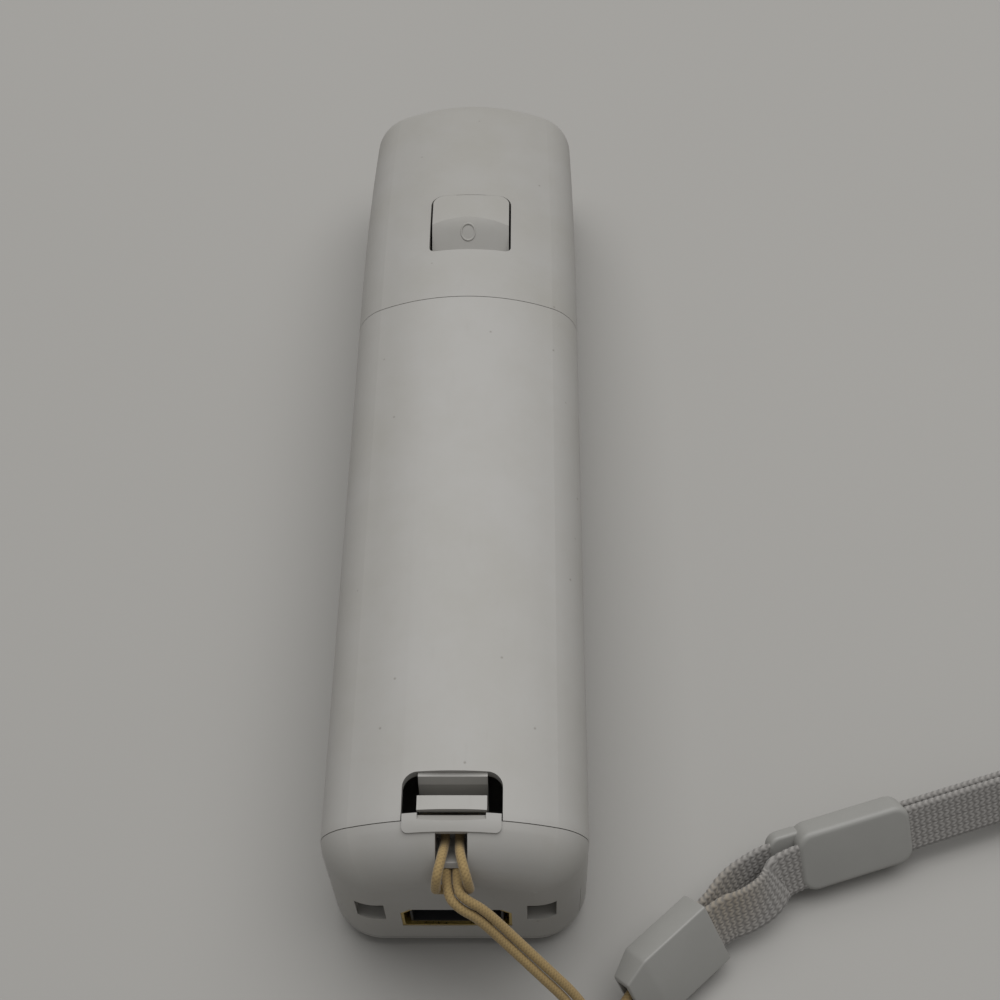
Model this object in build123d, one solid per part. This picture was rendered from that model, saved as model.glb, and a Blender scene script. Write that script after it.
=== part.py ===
from build123d import *
import math
import os

os.makedirs("parts", exist_ok=True)

# A one-hand motion controller wand, lying on its keys with the battery cover up.
# X runs across the wand, +Y towards the end with the sensor window, +Z up.
# The origin is the middle of the surface it lies on. All lengths are in millimetres.

# Overall size
body_length = 148.0
body_width = 36.2
body_height = 30.8
nose_height = 25.6
nose_width = 35.0
nose_start = 27.5

# Shape of the skin
key_proud = 0.9
back_radius = 31.5
shoulder_radius = 7.5
face_radius = 2.4
rear_radius = 7.5
nose_radius = 5.5
wall = 1.8
least_radius = 0.5
sliver = 0.05

# Seams and clearances
split_z = 12.6
end_split_z = 3.4
end_split_depth = 3.8
seam_gap = 0.12
fit_gap = 0.2
running_gap = 0.3
overrun = 2.0

# Places that the sizes above give
rear_y = -body_length / 2
front_y = body_length / 2
face_z = key_proud
face_inner_z = face_z + wall

# Battery cover and its latch
cover_rear_inset = 6.3
cover_rear_y = rear_y + cover_rear_inset
cover_front_y = 21.75
cover_wall = 1.5
cover_gap = 0.5
notch_width = 13.3
notch_inset = 13.1
notch_start_y = rear_y + notch_inset
notch_radius = 2.0
latch_width = 9.2
latch_wall = 1.1
latch_depth = 7.0
latch_lean = 0.9
latch_tab_inset = 7.7
latch_tab_rear_y = rear_y + latch_tab_inset
latch_tab_length = 1.9
tongue_width = 5.0
tongue_spacing = 17.0
tongue_reach = 1.6
tongue_thick = 1.1
cover_top_drop = 1.9
cover_hinge_y = cover_front_y - seam_gap
cover_hinge_z = body_height

# Strap hole and the bar over it
bar_width = 13.0
bar_rear_inset = 4.7
bar_front_inset = 7.2
bar_rear_y = rear_y + bar_rear_inset
bar_front_y = rear_y + bar_front_inset
bar_proud = 0.3
bar_lip = 1.2
bar_corner = 0.8
bar_dish_width = 9.0
bar_dish_drop = 0.9
hole_width = 4.2
hole_lip_inset = 1.7
hole_lip_drop = 3.1
hole_floor_inset = 4.2
hole_floor_drop = 5.45
hole_end_inset = 6.0
hole_end_drop = 5.7
hole_lip = (rear_y + hole_lip_inset, body_height - hole_lip_drop)
hole_floor = (rear_y + hole_floor_inset, body_height - hole_floor_drop)
hole_end = (rear_y + hole_end_inset, body_height - hole_end_drop)
hole_height = 3.4
hole_roof_rise = 1.26
hole_block_width = 7.0
mouth_width = 2.9
mouth_height = 1.6
mouth_drop = 3.65
hole_block_drop = 7.8
hole_block_bottom = body_height - hole_block_drop

# Plug pockets and the expansion port in the rear end
pocket_width = 4.0
pocket_height = 5.3
pocket_spacing = 23.4
pocket_bottom = 10.8
pocket_depth = 3.2
port_width = 15.2
port_height = 6.6
port_bottom = 7.9
port_corner = 1.3
port_depth = 9.5
port_shell_wall = 0.4
port_back_wall = 1.2
port_lining_inset = 0.15
port_contacts = 6
port_contact_pitch = 1.8
port_contact_width = 0.8
port_contact_thick = 0.3
port_contact_length = 6.0

# Battery tray and cells
tray_floor = 1.4
tray_wall = 1.2
tray_wall_drop = 8.8
tray_wall_top = body_height - tray_wall_drop
bay_rear_y = -47.0
bay_front_y = 7.6
bay_end_drop = 6.3
bay_end_top = body_height - bay_end_drop
cell_radius = 7.1
cell_length = 49.3
cell_spacing = 14.6
cell_tip_radius = 2.7
cell_tip_length = 1.2
cell_clearance = 0.15
cell_front_gap = 0.7
plate_width = 11.0
plate_thick = 0.4
plate_height = 10.5
coil_radius = 3.6
coil_tip_radius = 2.2
coil_wire = 0.7
coil_turns = 4

# Case screws
screw_x = 12.6
screw_front_y = 14.5
screw_rear_y = -55.0
screw_radius = 1.1
screw_head_radius = 2.2
screw_head_height = 1.6
boss_radius = 2.9
shelf_top = 14.6
screw_length = 9.0
screw_slot = 0.7

# Circuit board and what stands on it
board_bottom = 6.2
board_thick = 1.2
board_side_gap = 1.4
board_rear_inset = 5.0
board_front_inset = 12.0
board_rear_y = rear_y + board_rear_inset
board_front_y = front_y - board_front_inset
post_radius = 2.1
board_screw_radius = 0.9
board_screw_head_radius = 1.8
board_screw_head_height = 1.2
board_screw_x = 9.5
board_screw_front_y = 56.0
board_screw_rear_y = -19.0

# Keys on the face
key_gap = 0.15
flange_out = 0.8
flange_thick = 0.8
flange_rest = 0.12
pad_wall_gap = 0.1
key_edge = 0.35
home_ring = 0.3

# Rumble motor
motor_x = -10.2
motor_radius = 4.6
motor_z = 17.2
motor_rear_y = 31.0
motor_length = 15.0
shaft_radius = 0.75
shaft_stand = 6.2
weight_radius = 4.4
weight_length = 4.4
cradle_wall = 1.2
cradle_length = 9.0

# Trigger
trigger_x = 0.4
trigger_width = 13.5
trigger_rear_y = 32.0
trigger_front_y = 45.2
trigger_side_gap = 0.35
trigger_corner = 1.0
trigger_front_corner = 2.0
trigger_rim_thick = 1.2
trigger_rim_drop = 5.0
trigger_bulge = 0.3
trigger_pivot_y = 47.2
trigger_pivot_drop = 6.4
trigger_pivot_z = body_height - trigger_pivot_drop
trigger_pin_radius = 1.0
trigger_pin_length = 18.0
trigger_skirt_drop = 9.2
trigger_skirt_z = body_height - trigger_skirt_drop
trigger_hub_radius = 2.4
ear_thick = 2.0


def block(x, y, z):
    """A box between two places along each axis."""
    size = (x[1] - x[0], y[1] - y[0], z[1] - z[0])
    middle = ((x[0] + x[1]) / 2, (y[0] + y[1]) / 2, (z[0] + z[1]) / 2)
    return Pos(*middle) * Box(*size)


def rod(radius, x, y, z):
    """A round rod along Z, from z[0] to z[1]."""
    return Pos(x, y, (z[0] + z[1]) / 2) * Cylinder(radius, z[1] - z[0])


def rod_y(radius, x, y, z):
    """A round rod along Y, from y[0] to y[1]."""
    return Pos(x, (y[0] + y[1]) / 2, z) * Rot(90, 0, 0) * Cylinder(radius, y[1] - y[0])


def rod_x(radius, x, y, z):
    """A round rod along X, from x[0] to x[1]."""
    return Pos((x[0] + x[1]) / 2, y, z) * Rot(0, 90, 0) * Cylinder(radius, x[1] - x[0])


def profile_x(points, x):
    """A YZ outline of straight sides, run along X from x[0] to x[1]."""
    outline = make_face(Polyline(*points, close=True))
    return Pos(x[0], 0, 0) * extrude(Plane.YZ * outline, amount=x[1] - x[0], dir=(1, 0, 0))


def skin_section(y, width, height, inset):
    """The closed outline of the wand across Y, drawn in by inset."""
    half = width / 2 - inset
    top = height - inset
    radius = back_radius - inset
    sag = radius - math.sqrt(radius**2 - half**2)
    low = face_z + inset
    corners = [(-half, low), (half, low), (half, top - sag), (-half, top - sag)]
    sides = [
        Line(corners[0], corners[1]),
        Line(corners[1], corners[2]),
        ThreePointArc(corners[2], (0, top), corners[3]),
        Line(corners[3], corners[0]),
    ]
    outline = make_face(sides)
    shoulders = outline.vertices().sort_by(Axis.Y)[-2:]
    outline = fillet(shoulders, shoulder_radius - inset)
    return Plane.XZ.offset(-y) * outline


def end_edges(solid, which, inset):
    """The edges of one end face that round over, all but its edge at the face side."""
    end = solid.faces().sort_by(Axis.Y)[which]
    return [e for e in end.edges() if e.center().Z > face_z + inset + sliver]


def skin(inset):
    """The whole wand as one solid, its surface drawn in by inset."""
    quarter = 0.25
    middle_y = (nose_start + front_y) / 2
    start = skin_section(nose_start, body_width, body_height, inset)
    middle = skin_section(
        middle_y,
        body_width - (body_width - nose_width) * quarter,
        body_height - (body_height - nose_height) * quarter,
        inset,
    )
    tip = skin_section(front_y - inset, nose_width, nose_height, inset)
    handle = extrude(start, amount=nose_start - rear_y - inset, dir=(0, -1, 0))
    whole = handle + loft([start, middle, tip])
    whole = fillet(end_edges(whole, 0, inset), rear_radius - inset)
    whole = fillet(end_edges(whole, -1, inset), nose_radius - inset)
    face = whole.faces().sort_by(Axis.Z)[0]
    return fillet(face.edges(), max(face_radius - inset, least_radius))


outer = skin(0)
inner = skin(wall)
under_cover = skin(cover_wall)
tray_outer = skin(wall + fit_gap)
tray_inner = skin(wall + fit_gap + tray_wall)
far = body_length

# The upper and lower halves of the skin
above = block((-far, far), (rear_y - overrun, front_y + overrun), (split_z + seam_gap, far))
above += block((-far, far), (-far, rear_y + end_split_depth - seam_gap), (end_split_z + seam_gap, far))
below = block((-far, far), (-far, far), (-overrun, split_z))
below -= block((-far, far), (-far, rear_y + end_split_depth), (end_split_z, far))


# Places of the keys, seen from the face, and their outlines
power_place = (10.5, 65.0)
pad_place = (0.0, 50.0)
a_place = (0.0, 27.5)
minus_place = (10.5, 5.0)
home_place = (0.0, 5.0)
plus_place = (-10.5, 5.0)
one_place = (0.0, -31.0)
two_place = (0.0, -43.0)
power_key_radius = 2.6
a_key_width = 11.6
small_key_radius = 2.9
number_key_radius = 4.0
pad_key_span = 17.0
pad_key_arm = 6.2
pad_key_corner = 0.8
led_y = -57.0
led_pitch = 5.2
led_count = 4
led_radius = 1.2
grille_place = (0.0, -9.0)
grille_hole_radius = 0.6
grille_pitch = 2.4
grille_rows = (3, 5, 5, 5, 3)
window_width = 23.0
window_height = 10.5
window_z = 13.4
window_corner = 2.6
window_thick = 1.6
window_rim = 1.0


def round_key(radius):
    return Circle(radius)


def cross_key(grow):
    """A cross with rounded outer corners, grown by grow all round."""
    arms = Rectangle(pad_key_span + 2 * grow, pad_key_arm + 2 * grow)
    arms += Rectangle(pad_key_arm + 2 * grow, pad_key_span + 2 * grow)
    reach = pad_key_span / 2 + grow - sliver
    tips = [v for v in arms.vertices() if max(abs(v.X), abs(v.Y)) > reach]
    return fillet(tips, pad_key_corner)


keys = {
    "power_button": (power_place, lambda grow: round_key(power_key_radius + grow)),
    "direction_pad": (pad_place, cross_key),
    "a_button": (a_place, lambda grow: round_key(a_key_width / 2 + grow)),
    "minus_button": (minus_place, lambda grow: round_key(small_key_radius + grow)),
    "home_button": (home_place, lambda grow: round_key(small_key_radius + grow)),
    "plus_button": (plus_place, lambda grow: round_key(small_key_radius + grow)),
    "one_button": (one_place, lambda grow: round_key(number_key_radius + grow)),
    "two_button": (two_place, lambda grow: round_key(number_key_radius + grow)),
}


def key_cap(place, outline):
    """A key cap with a rounded outer edge and a flange that keeps it behind the wall."""
    spot = Pos(place[0], place[1], 0)
    cap = spot * extrude(outline(0), amount=face_inner_z + flange_rest, dir=(0, 0, 1))
    cap = fillet(cap.faces().sort_by(Axis.Z)[0].edges(), key_edge)
    flange = Pos(place[0], place[1], face_inner_z + flange_rest) * extrude(
        outline(flange_out), amount=flange_thick, dir=(0, 0, 1)
    )
    return cap + flange


def key_pad(place, outline):
    """The rubber dome between a key's flange and the board."""
    low = face_inner_z + flange_rest + flange_thick + pad_wall_gap
    return Pos(place[0], place[1], low) * extrude(
        outline(-flange_out), amount=board_bottom - low - pad_wall_gap, dir=(0, 0, 1)
    )


def key_opening(place, outline):
    hole = extrude(outline(key_gap), amount=face_inner_z + overrun, dir=(0, 0, 1))
    return Pos(place[0], place[1], -overrun / 2) * hole


def screw_places():
    return [(side * screw_x, y) for side in (-1, 1) for y in (screw_rear_y, screw_front_y)]


def board_screw_places():
    rows = (board_screw_rear_y, board_screw_front_y)
    return [(side * board_screw_x, y) for side in (-1, 1) for y in rows]


def grille_places():
    places = []
    for row, count in enumerate(grille_rows):
        y = grille_place[1] + (row - (len(grille_rows) - 1) / 2) * grille_pitch
        places += [((n - (count - 1) / 2) * grille_pitch, y) for n in range(count)]
    return places


def led_places():
    return [((n - (led_count - 1) / 2) * led_pitch, led_y) for n in range(led_count)]


def window_solid(grow, y):
    """A rounded upright panel across Y, from y[0] to y[1], grown by grow all round."""
    outline = RectangleRounded(window_width + 2 * grow, window_height + 2 * grow, window_corner)
    panel = extrude(Plane.XZ * outline, amount=y[1] - y[0], dir=(0, 1, 0))
    return Pos(0, y[0], window_z) * panel


def port_solid(inset, y):
    """The port's outline drawn in by inset, from y[0] to y[1], its upper corners cut off."""
    half = port_width / 2 - inset
    low = port_bottom + inset
    top = port_bottom + port_height - inset
    outline = [
        (-half, low),
        (half, low),
        (half, top - port_corner),
        (half - port_corner, top),
        (-half + port_corner, top),
        (-half, top - port_corner),
    ]
    face = make_face(Polyline(*outline, close=True))
    return Pos(0, y[0], 0) * extrude(Plane.XZ * face, amount=y[1] - y[0], dir=(0, 1, 0))


def end_openings():
    """Everything that is cut into the rear end: the port and the two plug pockets."""
    port = port_solid(0, (rear_y - overrun, rear_y + port_depth))
    top = pocket_bottom + pocket_height
    for side in (-1, 1):
        x = side * pocket_spacing / 2
        port += block(
            (x - pocket_width / 2, x + pocket_width / 2),
            (rear_y - overrun, rear_y + pocket_depth),
            (pocket_bottom, top),
        )
    return port


def front_case():
    case = (outer - inner) & below
    for x, y in screw_places():
        case += rod(boss_radius, x, y, (face_inner_z - sliver, split_z - tray_floor - fit_gap))
        case -= rod(screw_radius, x, y, (face_inner_z + wall, split_z))
    for x, y in board_screw_places():
        case += rod(post_radius, x, y, (face_inner_z - sliver, board_bottom))
        case -= rod(board_screw_radius, x, y, (face_inner_z + least_radius, board_bottom + overrun))
    for place, outline in keys.values():
        case -= key_opening(place, outline)
    for x, y in grille_places():
        case -= rod(grille_hole_radius, x, y, (0, face_inner_z + overrun))
    for x, y in led_places():
        case -= rod(led_radius + seam_gap, x, y, (0, face_inner_z + overrun))
    case -= window_solid(fit_gap, (front_y - wall - overrun, front_y + overrun))
    return case - end_openings()


def cover_region(gap):
    """The space that the battery cover takes. Its rear seam is an arc about its hinge."""
    region = block((-far, far), (-far, cover_front_y - gap), (-overrun, far))
    swing = cover_hinge_y - cover_rear_y - gap
    return region & rod_x(swing, (-far, far), cover_hinge_y, cover_hinge_z)


def latch_outline():
    """The side outline of the cover's sprung latch: down, round and up to its tab."""
    top = body_height
    root = top - cover_wall
    low = root - latch_depth
    front = notch_start_y
    rear = latch_tab_rear_y + latch_tab_length
    return [
        (front + overrun, root + cover_wall / 2),
        (front + overrun, root - latch_wall / 2),
        (front, root - latch_wall / 2),
        (front - latch_lean, low),
        (rear - latch_wall / 4, low),
        (rear - latch_wall / 2, top - cover_wall - latch_wall),
        (latch_tab_rear_y, top - latch_wall),
        (latch_tab_rear_y, top - sliver),
        (rear, top - sliver),
        (rear + latch_wall / 2, top - cover_wall),
        (rear + 3 * latch_wall / 4, low + latch_wall),
        (front - latch_lean - 0.9 * latch_wall, low + latch_wall),
        (front - latch_wall, root - latch_wall / 2),
        (front - latch_wall / 2, root + cover_wall / 2),
    ]


def battery_cover():
    cover = (outer - under_cover) & cover_region(seam_gap)
    cover &= block((-far, far), (-far, far), (split_z + seam_gap, far))
    notch = block(
        (-notch_width / 2, notch_width / 2),
        (cover_rear_y - overrun, notch_start_y),
        (body_height - shoulder_radius, far),
    )
    corners = notch.edges().filter_by(Axis.Z).sort_by(Axis.Y)[-2:]
    cover -= fillet(corners, notch_radius)
    half = latch_width / 2
    cover += profile_x(latch_outline(), (-half, half)) & outer
    for side in (-1, 1):
        x = side * tongue_spacing / 2
        reach = (cover_front_y - overrun, cover_front_y + tongue_reach)
        root_z = body_height - cover_wall - cover_top_drop
        tongue = block((x - tongue_width / 2, x + tongue_width / 2), reach, (root_z - tongue_thick, root_z))
        riser = block(
            (x - tongue_width / 2, x + tongue_width / 2),
            (reach[0], cover_front_y - seam_gap),
            (root_z - tongue_thick, root_z + cover_top_drop),
        )
        cover += tongue
        cover += riser & outer
    return cover


def tray():
    """The battery tray: its floor, side walls, bay ends and the two end walls of the cover's place."""
    along = (cover_rear_y - sliver, cover_front_y + sliver)
    part = tray_outer & block((-far, far), along, (split_z - tray_floor, split_z))
    sides = (tray_outer - tray_inner) & block(
        (-far, far), (cover_rear_y - sliver, cover_front_y + sliver), (split_z - sliver, tray_wall_top)
    )
    part += sides
    for y in ((bay_rear_y - tray_wall, bay_rear_y), (bay_front_y, bay_front_y + tray_wall)):
        wall_block = tray_outer & block((-far, far), y, (split_z - sliver, bay_end_top))
        part += wall_block
    for x, y in screw_places():
        part += rod(boss_radius, x, y, (split_z - tray_floor, shelf_top)) & tray_outer
        part -= rod(screw_radius + seam_gap, x, y, (0, far))
    return part


def hole_outline():
    """The side outline of the strap hole, from outside the skin to its inner end."""
    lip_y, lip_z = hole_lip
    return [
        (lip_y - overrun, lip_z + overrun / 2),
        (lip_y, lip_z),
        hole_floor,
        hole_end,
        (hole_end[0], hole_end[1] + hole_height),
        (bar_rear_y, hole_end[1] + hole_height + hole_roof_rise),
        (bar_rear_y, body_height + overrun),
        (lip_y - overrun, body_height + overrun),
    ]


def strap_bar():
    """The raised bar at the rear seam, with its middle dished towards the latch."""
    bar = skin(-bar_proud) & block(
        (-bar_width / 2, bar_width / 2),
        (bar_rear_y, bar_front_y),
        (hole_end[1] + hole_height, far),
    )
    dish = profile_x(
        [
            (bar_rear_y + bar_lip, body_height + bar_proud),
            (bar_front_y + overrun, body_height + bar_proud),
            (bar_front_y + overrun, body_height - 2 * bar_dish_drop),
            (bar_front_y, body_height - bar_dish_drop),
        ],
        (-bar_dish_width / 2, bar_dish_width / 2),
    )
    bar = fillet(bar.edges().filter_by(Axis.Z).sort_by(Axis.Y)[:2], bar_corner)
    return bar - dish


def trigger_opening():
    half = trigger_width / 2
    hole = block(
        (trigger_x - half, trigger_x + half),
        (trigger_rear_y, trigger_front_y),
        (trigger_skirt_z, far),
    )
    hole = fillet(hole.edges().filter_by(Axis.Z).sort_by(Axis.Y)[2:], trigger_front_corner)
    return fillet(hole.edges().filter_by(Axis.Z).sort_by(Axis.Y)[:2], trigger_corner)


def trigger_ears():
    """Two plates that hang from the nose and hold the trigger's pin."""
    ears = None
    for side in (-1, 1):
        x = trigger_x + side * (trigger_pin_length - ear_thick) / 2
        ear = inner_block(
            (x - ear_thick / 2, x + ear_thick / 2),
            (trigger_pivot_y - 2 * ear_thick, trigger_pivot_y + 2 * ear_thick),
            (trigger_pivot_z - trigger_hub_radius, far),
        )
        ears = ear if ears is None else ears + ear
    return ears


def inner_block(x, y, z):
    """A box trimmed to lie inside the skin, reaching half way into the wall."""
    return skin_mid & block(x, y, z)


skin_mid = skin(wall / 2)


def rear_case():
    shell = (outer - inner) & above
    shell -= cover_region(0)
    case = shell + tray()
    front_wall = skin_mid & block(
        (-far, far), (cover_front_y, cover_front_y + wall), (split_z - tray_floor, far)
    )
    rear_wall = skin_mid & block(
        (-far, far), (cover_rear_y - wall, cover_rear_y), (split_z - tray_floor, far)
    )
    case += front_wall & tray_outer_or_above
    case += rear_wall & tray_outer_or_above
    case += inner_block(
        (-hole_block_width / 2, hole_block_width / 2),
        (rear_y + wall / 2, bar_front_y),
        (hole_block_bottom, far),
    ) & above
    case += strap_bar()
    case += trigger_ears()
    case += inner_block(
        (trigger_x - trigger_width / 2, trigger_x + trigger_width / 2),
        (trigger_rear_y - trigger_rim_thick, trigger_rear_y + overrun),
        (body_height - trigger_rim_drop, far),
    )
    half = hole_width / 2
    case -= profile_x(hole_outline(), (-half, half))
    mouth_top = body_height - mouth_drop
    case -= block(
        (-mouth_width / 2, mouth_width / 2),
        (rear_y - overrun, rear_y + hole_lip_inset),
        (mouth_top - mouth_height, mouth_top),
    )
    case -= trigger_opening()
    pin_reach = (trigger_x - trigger_pin_length / 2, trigger_x + trigger_pin_length / 2)
    case -= rod_x(trigger_pin_radius, pin_reach, trigger_pivot_y, trigger_pivot_z)
    for side in (-1, 1):
        x = side * tongue_spacing / 2
        reach = tongue_width / 2 + running_gap
        root_z = body_height - cover_wall - cover_top_drop
        case -= block(
            (x - reach, x + reach),
            (cover_front_y - overrun, cover_front_y + tongue_reach + overrun),
            (root_z - tongue_thick - overrun, root_z + fit_gap),
        )
    case -= window_solid(fit_gap, (front_y - wall - overrun, front_y + overrun))
    return case - end_openings()


tray_outer_or_above = tray_outer + (skin_mid & above)


# Trigger: a finger scoop whose far end bulges above the skin, on a pin at that end
trigger_brow_y = 41.6
trigger_crest_y = 37.9
trigger_crest_drop = 0.65
trigger_scoop_mid_y = 35.2
trigger_scoop_mid_drop = 2.2
trigger_scoop_drop = 3.8
trigger_scoop_slope = 0.55
trigger_stem_width = 5.0
trigger_stem_y = (34.2, 37.2)
trigger_stem_bottom = 10.4
trigger_shell = 2.0
trigger_pad_radius = 3.0
trigger_pad_gap = 1.5
spring_wire = 0.6
spring_turns = 5
spring_pitch = 0.75
spring_radius = 1.75


def b_trigger():
    half = trigger_width / 2 - trigger_side_gap
    rear = trigger_rear_y + trigger_side_gap
    front = trigger_front_y - trigger_side_gap
    low = trigger_skirt_z
    top = body_height + trigger_bulge
    brow = (trigger_brow_y, top)
    crest = (trigger_crest_y, body_height - trigger_crest_drop)
    scoop_mid = (trigger_scoop_mid_y, body_height - trigger_scoop_mid_drop)
    scoop_end = (rear, body_height - trigger_scoop_drop)
    sides = [
        Line((rear, low), (front, low)),
        Line((front, low), (front, far)),
        Line((front, far), (trigger_brow_y, far)),
        Line((trigger_brow_y, far), brow),
        Spline(brow, crest, scoop_mid, scoop_end, tangents=[(-1, 0), (-1, -trigger_scoop_slope)]),
        Line(scoop_end, (rear, low)),
    ]
    side_face = Plane.YZ * make_face(sides)
    body = Pos(trigger_x - half, 0, 0) * extrude(side_face, amount=2 * half, dir=(1, 0, 0))
    body &= skin(-trigger_bulge)
    front_edges = body.edges().filter_by(Axis.Z).sort_by(Axis.Y)[-2:]
    body = fillet(front_edges, trigger_front_corner - trigger_side_gap)
    body -= block(
        (trigger_x - half + trigger_shell, trigger_x + half - trigger_shell),
        (rear + trigger_shell, front - trigger_shell),
        (low - overrun, low + trigger_shell),
    )
    stem = block(
        (trigger_x - trigger_stem_width / 2, trigger_x + trigger_stem_width / 2),
        trigger_stem_y,
        (trigger_stem_bottom, low + trigger_shell + overrun / 2),
    )
    hub = rod_x(
        trigger_hub_radius, (trigger_x - half, trigger_x + half), trigger_pivot_y, trigger_pivot_z
    )
    arm = block(
        (trigger_x - half, trigger_x + half),
        (front - trigger_shell, trigger_pivot_y),
        (trigger_pivot_z - trigger_hub_radius, trigger_pivot_z + trigger_hub_radius / 2),
    )
    slot = block(
        (trigger_x - spring_room / 2, trigger_x + spring_room / 2),
        (trigger_pivot_y - trigger_hub_radius, far),
        (0, far),
    )
    body += stem
    body += arm
    body += hub
    body -= slot
    bore = rod_x(trigger_pin_radius + fit_gap, (-far, far), trigger_pivot_y, trigger_pivot_z)
    return body - bore


spring_room = spring_turns * spring_pitch + 2 * spring_wire


def trigger_pin():
    ends = (trigger_x - trigger_pin_length / 2, trigger_x + trigger_pin_length / 2)
    return rod_x(trigger_pin_radius, ends, trigger_pivot_y, trigger_pivot_z)


def coil(radius, pitch, turns, wire):
    """One unbroken coil of round wire about Z, from the origin upwards."""
    path = Helix(pitch, pitch * turns, radius)
    start = Plane(path @ 0, z_dir=path % 0)
    return sweep(start * Circle(wire / 2), path)


def trigger_spring():
    turns = coil(spring_radius, spring_pitch, spring_turns, spring_wire)
    start = trigger_x - spring_turns * spring_pitch / 2
    return Pos(start, trigger_pivot_y, trigger_pivot_z) * Rot(0, 90, 0) * turns


def trigger_pad():
    top = trigger_stem_bottom - trigger_pad_gap
    y = (trigger_stem_y[0] + trigger_stem_y[1]) / 2
    return rod(trigger_pad_radius, trigger_x, y, (board_top, top))


board_top = board_bottom + board_thick


def board_outline():
    """The board's shape: inside the case, clear of the screw bosses and the posts' screws."""
    board = skin(wall + board_side_gap) & block(
        (-far, far), (board_rear_y, board_front_y), (board_bottom, board_top)
    )
    for x, y in screw_places():
        board -= rod(boss_radius + running_gap, x, y, (0, far))
    for x, y in board_screw_places():
        board -= rod(board_screw_radius + seam_gap, x, y, (0, far))
    return board


# What stands on the board, towards the batteries
radio_size = (11.0, 13.0, 2.0)
radio_place = (-7.0, -34.0)
processor_size = (9.0, 9.0, 1.2)
processor_place = (4.5, -36.0)
motion_size = (5.0, 5.0, 1.6)
motion_place = (0.0, 15.0)
memory_size = (4.0, 5.0, 1.4)
memory_place = (10.0, -8.0)
crystal_size = (3.2, 5.0, 1.0)
crystal_place = (12.2, -36.0)
regulator_size = (6.0, 4.0, 1.8)
regulator_place = (-8.0, 6.0)
capacitor_radius = 2.5
capacitor_height = 3.2
capacitor_place = (8.0, 22.0)
camera_size = (8.4, 6.2, 8.6)
camera_inset = 13.4
camera_rear_y = front_y - camera_inset
camera_base = 8.0
camera_lens_radius = 2.6
camera_lens_length = 1.9
camera_foot = (10.0, 5.0)
speaker_radius = 8.4
speaker_depth = 2.9
speaker_cone_radius = 6.8
speaker_magnet_radius = 4.2
speaker_magnet = 0.7
sync_place = (0.0, -53.6)
sync_radius = 1.7
sync_stem = 0.9
sync_top = 14.4
sync_flange = 0.7
sync_switch_size = (4.4, 4.4, 1.7)


def on_board(place, size):
    x, y = place
    return block(
        (x - size[0] / 2, x + size[0] / 2),
        (y - size[1] / 2, y + size[1] / 2),
        (board_top, board_top + size[2]),
    )


def radio_module():
    """The radio under its metal can, with its foot standing all round."""
    can = on_board(radio_place, radio_size)
    return fillet(can.faces().sort_by(Axis.Z)[-1].edges(), least_radius)


def camera_module():
    """The sensor behind the window, on a foot that stands on the board."""
    wide, deep, tall = camera_size
    middle = window_z
    head = block(
        (-wide / 2, wide / 2),
        (camera_rear_y, camera_rear_y + deep),
        (middle - tall / 2, middle + tall / 2),
    )
    foot = block(
        (-camera_foot[0] / 2, camera_foot[0] / 2),
        (board_front_y - camera_foot[1], camera_rear_y + sliver),
        (board_top, middle),
    )
    hollow = rod_y(camera_lens_radius, 0, (camera_rear_y + deep / 2, far), middle)
    return head + foot - hollow


def camera_lens():
    start = camera_rear_y + camera_size[1] / 2
    glass = rod_y(camera_lens_radius, 0, (start, start + camera_lens_length), window_z)
    return fillet(glass.faces().sort_by(Axis.Y)[-1].edges(), camera_lens_radius / 3)


def ir_window():
    """The dark window that closes the front end, with a rim behind the wall."""
    panel = window_solid(0, (front_y - wall - window_rim, far)) & outer
    rim_y = front_y - wall - seam_gap
    rim = window_solid(window_rim, (rim_y - window_rim, rim_y))
    return panel + rim


def speaker():
    """A flat speaker in the grille's seat: frame, cone dish and magnet."""
    x, y = grille_place
    low = face_inner_z
    top = low + speaker_depth
    body = rod(speaker_radius, x, y, (low, top - speaker_magnet))
    body -= rod(speaker_cone_radius, x, y, (low - overrun, low + speaker_magnet))
    return body + rod(speaker_magnet_radius, x, y, (top - speaker_magnet - sliver, top))


def sync_button():
    """The small key under the cover, standing in the tray's floor over its switch."""
    x, y = sync_place
    floor_low = split_z - tray_floor
    cap = rod(sync_radius, x, y, (floor_low - sync_flange, sync_top))
    cap = fillet(cap.faces().sort_by(Axis.Z)[-1].edges(), key_edge)
    low = board_top + sync_switch_size[2] + sync_rest
    cap += rod(sync_radius + flange_out, x, y, (floor_low - fit_gap - sync_flange, floor_low - fit_gap))
    return cap + rod(sync_stem, x, y, (low, floor_low - sync_flange))


sync_rest = 0.6


def expansion_shell():
    """The metal lining of the port, open at the rear and closed by a back wall."""
    lining = port_solid(0, (rear_y + port_lining_inset, rear_y + port_depth))
    return lining - port_solid(port_shell_wall, (rear_y - overrun, rear_y + port_depth - port_back_wall))


def expansion_contacts():
    """Six sprung contacts along the port's lower wall."""
    low = port_bottom + port_shell_wall
    rear = rear_y + port_depth - port_back_wall
    row = None
    for n in range(port_contacts):
        x = (n - (port_contacts - 1) / 2) * port_contact_pitch
        pin = block(
            (x - port_contact_width / 2, x + port_contact_width / 2),
            (rear - port_contact_length, rear),
            (low, low + port_contact_thick),
        )
        row = pin if row is None else row + pin
    return row


# Cells and the springs and plates that they bear on
cell_z = split_z + cell_clearance + cell_radius


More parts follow.
